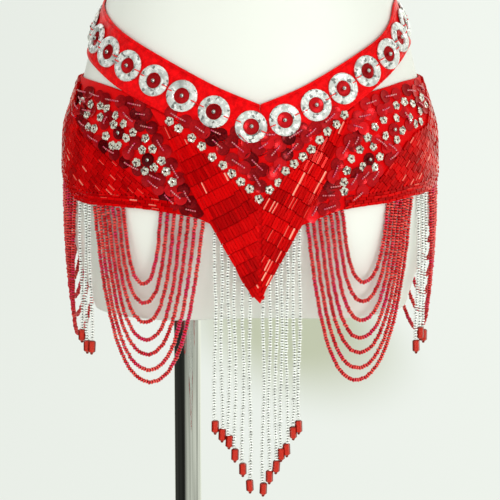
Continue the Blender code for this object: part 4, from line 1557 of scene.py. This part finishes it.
class BELT_OT_swags(BeltOperator, bpy.types.Operator):
    """Nested loops of red seed beads along the hem."""

    bl_idname = "belt.swags"
    bl_label = "Bead swags"

    def execute(self, context):
        radius, pitch = 0.5 * self.sizes.seed / MM, self.sizes.seed_pitch / MM
        bead = small_bead(TUMBLED, radius, 0.96 * pitch)
        glass = seed_material(self.colours)
        rng = np.random.default_rng(31)
        for name, (side, inner, outer) in SWAGS.items():
            bottoms = LOOP_BOTTOMS[name.split("_")[0]]
            loops = []
            for share, bottom in zip(np.linspace(0.0, 1.0, len(bottoms)), bottoms):
                roots = [a + (b - a) * share for a, b in zip(inner, outer)]
                places = strung(loop_path(side, roots, bottom), pitch, rng, 0.24)
                loops.append((*places, runs_of_tint(len(places[0]), rng)))
            *places, tint = together(loops)
            mesh = strewn("seed_" + name, bead, places, tint=painted_mouth_shade(tint))
            add_piece(mesh, glass, [name])
        return {"FINISHED"}


class BELT_OT_fringe(BeltOperator, bpy.types.Operator):
    """Straight strands of silver beads that end in red drops."""

    bl_idname = "belt.fringe"
    bl_label = "Silver fringe"

    def execute(self, context):
        sizes = self.sizes
        radius, pitch = 0.5 * sizes.silver / MM, sizes.silver_pitch / MM
        length, width = sizes.drop_length / MM, 0.5 * sizes.drop_width / MM
        bead = small_bead(NECKED, radius, 0.98 * pitch)
        tip, bevel = 0.62 * width, 1.1
        drop = turned(((tip, 0.0), (width, bevel), (width, length - bevel), (tip, length)), 6)
        stopper = turned(((0.5, -1.9), (1.2, -1.4), (1.35, -0.8), (1.0, 0.0)), 8)
        silver = silver_bead_material(self.colours)
        brick = drop_material(self.colours)
        # Tints of a drop's four rings, dark at two corners, and of its stopper's rings. The dark
        # corners and the darker end rings are painted shade.
        edge = np.array((0.0, 1.0, 1.0, 0.0, 1.0, 1.0))
        painted_edge_shade = np.concatenate((0.3 * edge, edge, edge, 0.1 * edge, np.full(32, 0.3)))
        rng = np.random.default_rng(47)
        middle_out = band_lift(0.0) + 0.5 * CLOTH
        groups = {"centre_fringe": (1, CENTRE_STRANDS, V_EDGE, middle_out)}
        for side, word in SIDES.items():
            groups["side_fringe_" + word] = side, SIDE_STRANDS[side], HEM, STRAND_OUT
        for name, (side, rows, edge_line, out) in groups.items():
            angle = side * rows["angle"]
            roots = cloth_points(angle, outline(edge_line, angle), out)
            strands = []
            for root, end in zip(roots, rows["end"]):
                level = np.linspace(root[2], HIP_LINE + end + length, 40)
                fallen = root[2] - level
                wave = 0.9 * np.sin(fallen / 23.0 + rng.uniform(0.0, 6.3))
                sway = wave * np.clip(fallen / 30.0, 0, 1)
                path = np.column_stack((root[0] + sway, np.full(40, root[1]), level))
                places = strung(path, pitch, rng, 0.22, 6.0)
                tint = np.clip(rng.normal(0.95, 0.1, len(places[0])), 0.0, 1.0)
                strands.append((*places, tint))
            *places, tint = together(strands)
            mesh = strewn("silver_" + name, bead, places, tint=painted_mouth_shade(tint, light=3))
            add_piece(mesh, silver, [name])
            feet = np.column_stack((roots[:, :2], HIP_LINE + rows["end"]))
            upright = tipped(np.tile(np.eye(3), (len(feet), 1, 1)), rng, 2.0)
            tint = np.tile(painted_edge_shade, (len(feet), 1))
            mesh = strewn("drops_" + name, joined(drop, stopper), (feet, upright), False, tint)
            add_piece(mesh, brick)
        return {"FINISHED"}


class BELT_OT_hooks(BeltOperator, bpy.types.Operator):
    """Flat sewn-on hooks that close the belt at the centre back."""

    bl_idname = "belt.hooks"
    bl_label = "Hooks"

    def execute(self, context):
        steel = self.colours.chrome
        nickel = plain_material("steel_nickel_plated_stamped", steel, 0.28, 5.0, metallic=1.0)
        length, width, thick, corner = 9.0, 4.0, 1.2, 1.6
        outline_xy = []
        for quarter, (sx, sy) in enumerate(((1, 1), (-1, 1), (-1, -1), (1, -1))):
            for a in np.radians(np.linspace(0.0, 90.0, 5)) + quarter * 0.5 * math.pi:
                outline_xy.append((sx * (length - corner) + corner * math.cos(a),
                                   sy * (width - corner) + corner * math.sin(a)))
        levels = ((0.96, 0.0), (1.0, 0.15 * thick), (1.0, 0.85 * thick), (0.95, thick))
        plate = turned(levels, np.array(outline_xy))
        bill = ((-3.0, 0.0, 1.0), (-3.0, 0.0, 2.0), (0.0, 0.0, 2.3), (4.0, 0.0, 2.2),
                (6.0, 0.0, 1.7))
        eyelets = [moved(turned(((1.3, 0.9), (1.3, 1.5), (0.7, 1.5)), 12), (x, y, 0.0))
                   for x in (-6.8, 6.8) for y in (-2.2, 2.2)]
        hook = joined(plate, tube(bill, 0.8, 8), *eyelets)
        for kind, heights in (("band_hook", BAND_HOOKS), ("panel_hook", PANEL_HOOKS)):
            count = len(heights)
            places = seats(np.full(count, 180.0), np.array(heights, float), CLEAR + CLOTH + SEAT)
            mesh = strewn(kind + "s_stamped", hook, places, sharp=40.0)
            add_piece(mesh, nickel, ["%s_%d" % (kind, n + 1) for n in range(count)])
        return {"FINISHED"}


class BELT_OT_stage(BeltOperator, bpy.types.Operator):
    """Pale seamless bowl, soft lights and the camera."""

    bl_idname = "belt.stage"
    bl_label = "Stage"

    def softbox(self, name, place, aim, size, power):
        """Soft light, as wide and as high as its size says, that shines at a point."""
        light = bpy.data.lights.new(name, "AREA")
        light.shape = "RECTANGLE"
        light.size, light.size_y = size
        light.energy = power
        obj = bpy.data.objects.new(name, light)
        bpy.context.scene.collection.objects.link(obj)
        obj.location = place
        away = np.array(place) - np.array(aim)
        obj.rotation_euler = Vector(away).to_track_quat("Z", "Y").to_euler()
        obj.visible_camera = False
        return obj

    def execute(self, context):
        scene = context.scene
        floor, cove = 2.7, 1.1      # metres: radius of the floor, and of the bend up to the wall
        bend = np.radians(np.linspace(0.0, 90.0, 16))
        wall = [(floor + cove * math.sin(a), cove - cove * math.cos(a)) for a in bend]
        rows = np.array([(0.0, 0.0), (1.0, 0.0), (2.0, 0.0), *wall, (3.8, 2.2), (3.8, 3.4)]) / MM
        around = np.radians(np.linspace(0.0, 360.0, 97))[:, None]
        reach, level = rows[None, :, 0], rows[None, :, 1] - 1.0
        bowl = np.stack(np.broadcast_arrays(
            reach * np.sin(around), -reach * np.cos(around), level
        ), axis=-1)
        mesh = grid_mesh("backdrop", bowl[::-1])
        backdrop = bpy.data.objects.new("backdrop", mesh)
        scene.collection.objects.link(backdrop)
        mesh.materials.append(self.paper())
        backdrop.visible_glossy = False
        self.softbox("key_light", (1.5, -1.6, 1.7), (0.05, -0.05, 0.45), (0.9, 0.9), 4.4)
        self.softbox("glint_light", (0.75, -1.6, 0.75), (0.05, -0.1, 0.45), (0.3, 0.3), 3.6)
        self.softbox("fill_light", (-1.6, -1.5, 1.3), (0.0, 0.0, 0.45), (1.4, 1.4), 3.8)
        low = self.softbox("low_light", (0.2, -1.8, 0.12), (0.0, 0.0, 0.35), (1.6, 0.5), 12.0)
        low.visible_glossy = False
        self.softbox("back_light_right", (1.6, 1.7, 1.9), (0.0, 0.0, 0.4), (1.4, 1.4), 8.0)
        self.softbox("back_light_left", (-1.6, 1.7, 1.9), (0.0, 0.0, 0.4), (1.4, 1.4), 8.0)
        scene.world = self.room()
        scene.view_settings.view_transform = "Standard"
        self.camera(scene)
        return {"FINISHED"}

    def paper(self):
        """Seamless paper, matt, that glows, with painted light brighter on the right and a soft
        green-grey painted shadow behind the form's foot.
        """
        material, tree, shader = new_material("paper_seamless_matt", {
            "Base Color": rgba(self.colours.stage, 0.03), "Roughness": 0.9,
            "Specular IOR Level": 0.0, "Emission Strength": 0.97,
        })
        place = add_node(tree, "TexCoord").outputs["Object"]
        split = add_node(tree, "SeparateXYZ", None, {"Vector": place})
        # Painted light: the glow grows brighter towards the right.
        across = add_node(tree, "MapRange", None, {
            "Value": split.outputs["X"], "From Min": -1.0, "From Max": 1.0,
        })
        shade = add_node(tree, "Mix", {"data_type": "RGBA"}, {
            MIX_FACTOR: across, MIX_A: rgba(self.colours.stage, 0.97),
            MIX_B: rgba(self.colours.stage, 1.09),
        })
        # Painted shadow: a soft green-grey patch on the floor behind the form's foot.
        painted_shadow_spot = add_node(tree, "Mapping", {"vector_type": "TEXTURE"}, {
            "Vector": place, "Location": (0.22, 1.95, 0.0), "Scale": (0.26, 1.0, 1.0),
        })
        reach = add_node(tree, "VectorMath", {"operation": "LENGTH"}, {0: painted_shadow_spot})
        depth = add_node(tree, "MapRange", {"interpolation_type": "SMOOTHSTEP"}, {
            "Value": reach, "From Min": 0.35, "From Max": 1.05,
            "To Min": 1.0, "To Max": 0.0,
        })
        painted_shadow = add_node(tree, "Mix", {"data_type": "RGBA"}, {
            MIX_FACTOR: depth, MIX_A: shade, MIX_B: rgba(linear("C2C8AE")),
        })
        set_inputs(shader, {"Emission Color": painted_shadow})
        return material

    def room(self):
        """World that lights evenly, and that mirrors show as a room darker on the left."""
        world = bpy.data.worlds.new("studio")
        world.use_nodes = True
        tree = world.node_tree
        toward = add_node(tree, "TexCoord").outputs["Generated"]
        split = add_node(tree, "SeparateXYZ", None, {"Vector": toward})
        side = add_node(tree, "MapRange", None, {
            "Value": split.outputs["X"], "From Min": -0.5, "From Max": -0.12,
            "To Min": 0.03, "To Max": 0.66,
        })
        behind = add_node(tree, "MapRange", None, {
            "Value": split.outputs["Y"], "From Min": 0.1, "From Max": 0.6,
            "To Min": 1.0, "To Max": 1.7,
        })
        blotches = add_node(tree, "TexNoise", None, {
            "Vector": toward, "Scale": 2.6, "Detail": 3.0,
        })
        uneven = add_node(tree, "MapRange", None, {
            "Value": blotches, "From Min": 0.35, "From Max": 0.65,
            "To Min": 0.6, "To Max": 1.3,
        })
        above = add_node(tree, "MapRange", None, {
            "Value": split.outputs["Z"], "From Min": 0.14, "From Max": 0.45,
            "To Min": 0.0, "To Max": 0.25,
        })
        strength = side
        for way, other in (("MULTIPLY", behind), ("MAXIMUM", above), ("MULTIPLY", uneven)):
            strength = add_node(tree, "Math", {"operation": way}, {0: strength, 1: other})
        mirrored = add_node(tree, "Background", None, {
            "Color": rgba(linear("F4F8E8")), "Strength": strength,
        })
        even = tree.nodes["Background"]
        set_inputs(even, {"Color": rgba(linear("F2F5F0")), "Strength": 0.58})
        path = add_node(tree, "LightPath")
        both = add_node(tree, "MixShader", None, {
            0: path.outputs["Is Glossy Ray"], 1: even, 2: mirrored,
        })
        set_inputs(tree.nodes["World Output"], {"Surface": both})
        return world

    def camera(self, scene):
        """Camera at the photograph's angle, for a square picture of 500 pixels a side."""
        azimuth, elevation, distance = math.radians(-4.0), math.radians(7.5), 1.404
        target = Vector((0.0, 0.0, 0.412))
        picture, focal_pixels, sensor = 500.0, 1500.0, 36.0
        back = Vector((
            math.sin(azimuth) * math.cos(elevation), -math.cos(azimuth) * math.cos(elevation),
            math.sin(elevation),
        ))
        data = bpy.data.cameras.new("photo_camera")
        data.sensor_width = sensor
        data.lens = sensor * focal_pixels / picture
        data.shift_x = -1.0 / picture
        camera = bpy.data.objects.new("photo_camera", data)
        scene.collection.objects.link(camera)
        camera.location = target + back * distance
        camera.rotation_euler = back.to_track_quat("Z", "Y").to_euler()
        scene.camera = camera


class BELT_PT_panel(bpy.types.Panel):
    """Sidebar panel with the belt's operators, sizes and colours."""

    bl_idname = "BELT_PT_panel"
    bl_label = "Hip belt"
    bl_space_type = "VIEW_3D"
    bl_region_type = "UI"
    bl_category = "Hip belt"

    def draw(self, context):
        layout = self.layout
        for operator in OPERATORS:
            layout.operator(operator.bl_idname)
        for group in (context.scene.belt_sizes, context.scene.belt_colours):
            box = layout.box()
            for name in group.__annotations__:
                box.prop(group, name)


OPERATORS = (
    BELT_OT_stage,
    BELT_OT_dress_form,
    BELT_OT_stand,
    BELT_OT_waistband,
    BELT_OT_panels,
    BELT_OT_bugles,
    BELT_OT_sequins,
    BELT_OT_rosettes,
    BELT_OT_swags,
    BELT_OT_fringe,
    BELT_OT_hooks,
)
CLASSES = (BeltSizes, BeltColours, *OPERATORS, BELT_PT_panel)


def register():
    """Register the classes and the scene's settings."""
    for cls in CLASSES:
        bpy.utils.register_class(cls)
    bpy.types.Scene.belt_sizes = PointerProperty(type=BeltSizes)
    bpy.types.Scene.belt_colours = PointerProperty(type=BeltColours)


def unregister():
    """Take back what register did."""
    del bpy.types.Scene.belt_colours
    del bpy.types.Scene.belt_sizes
    for cls in reversed(CLASSES):
        bpy.utils.unregister_class(cls)


def main():
    """Dress the frame."""
    register()
    for operator in OPERATORS:
        group, name = operator.bl_idname.split(".")
        getattr(getattr(bpy.ops, group), name)()


if __name__ == "__main__":
    main()
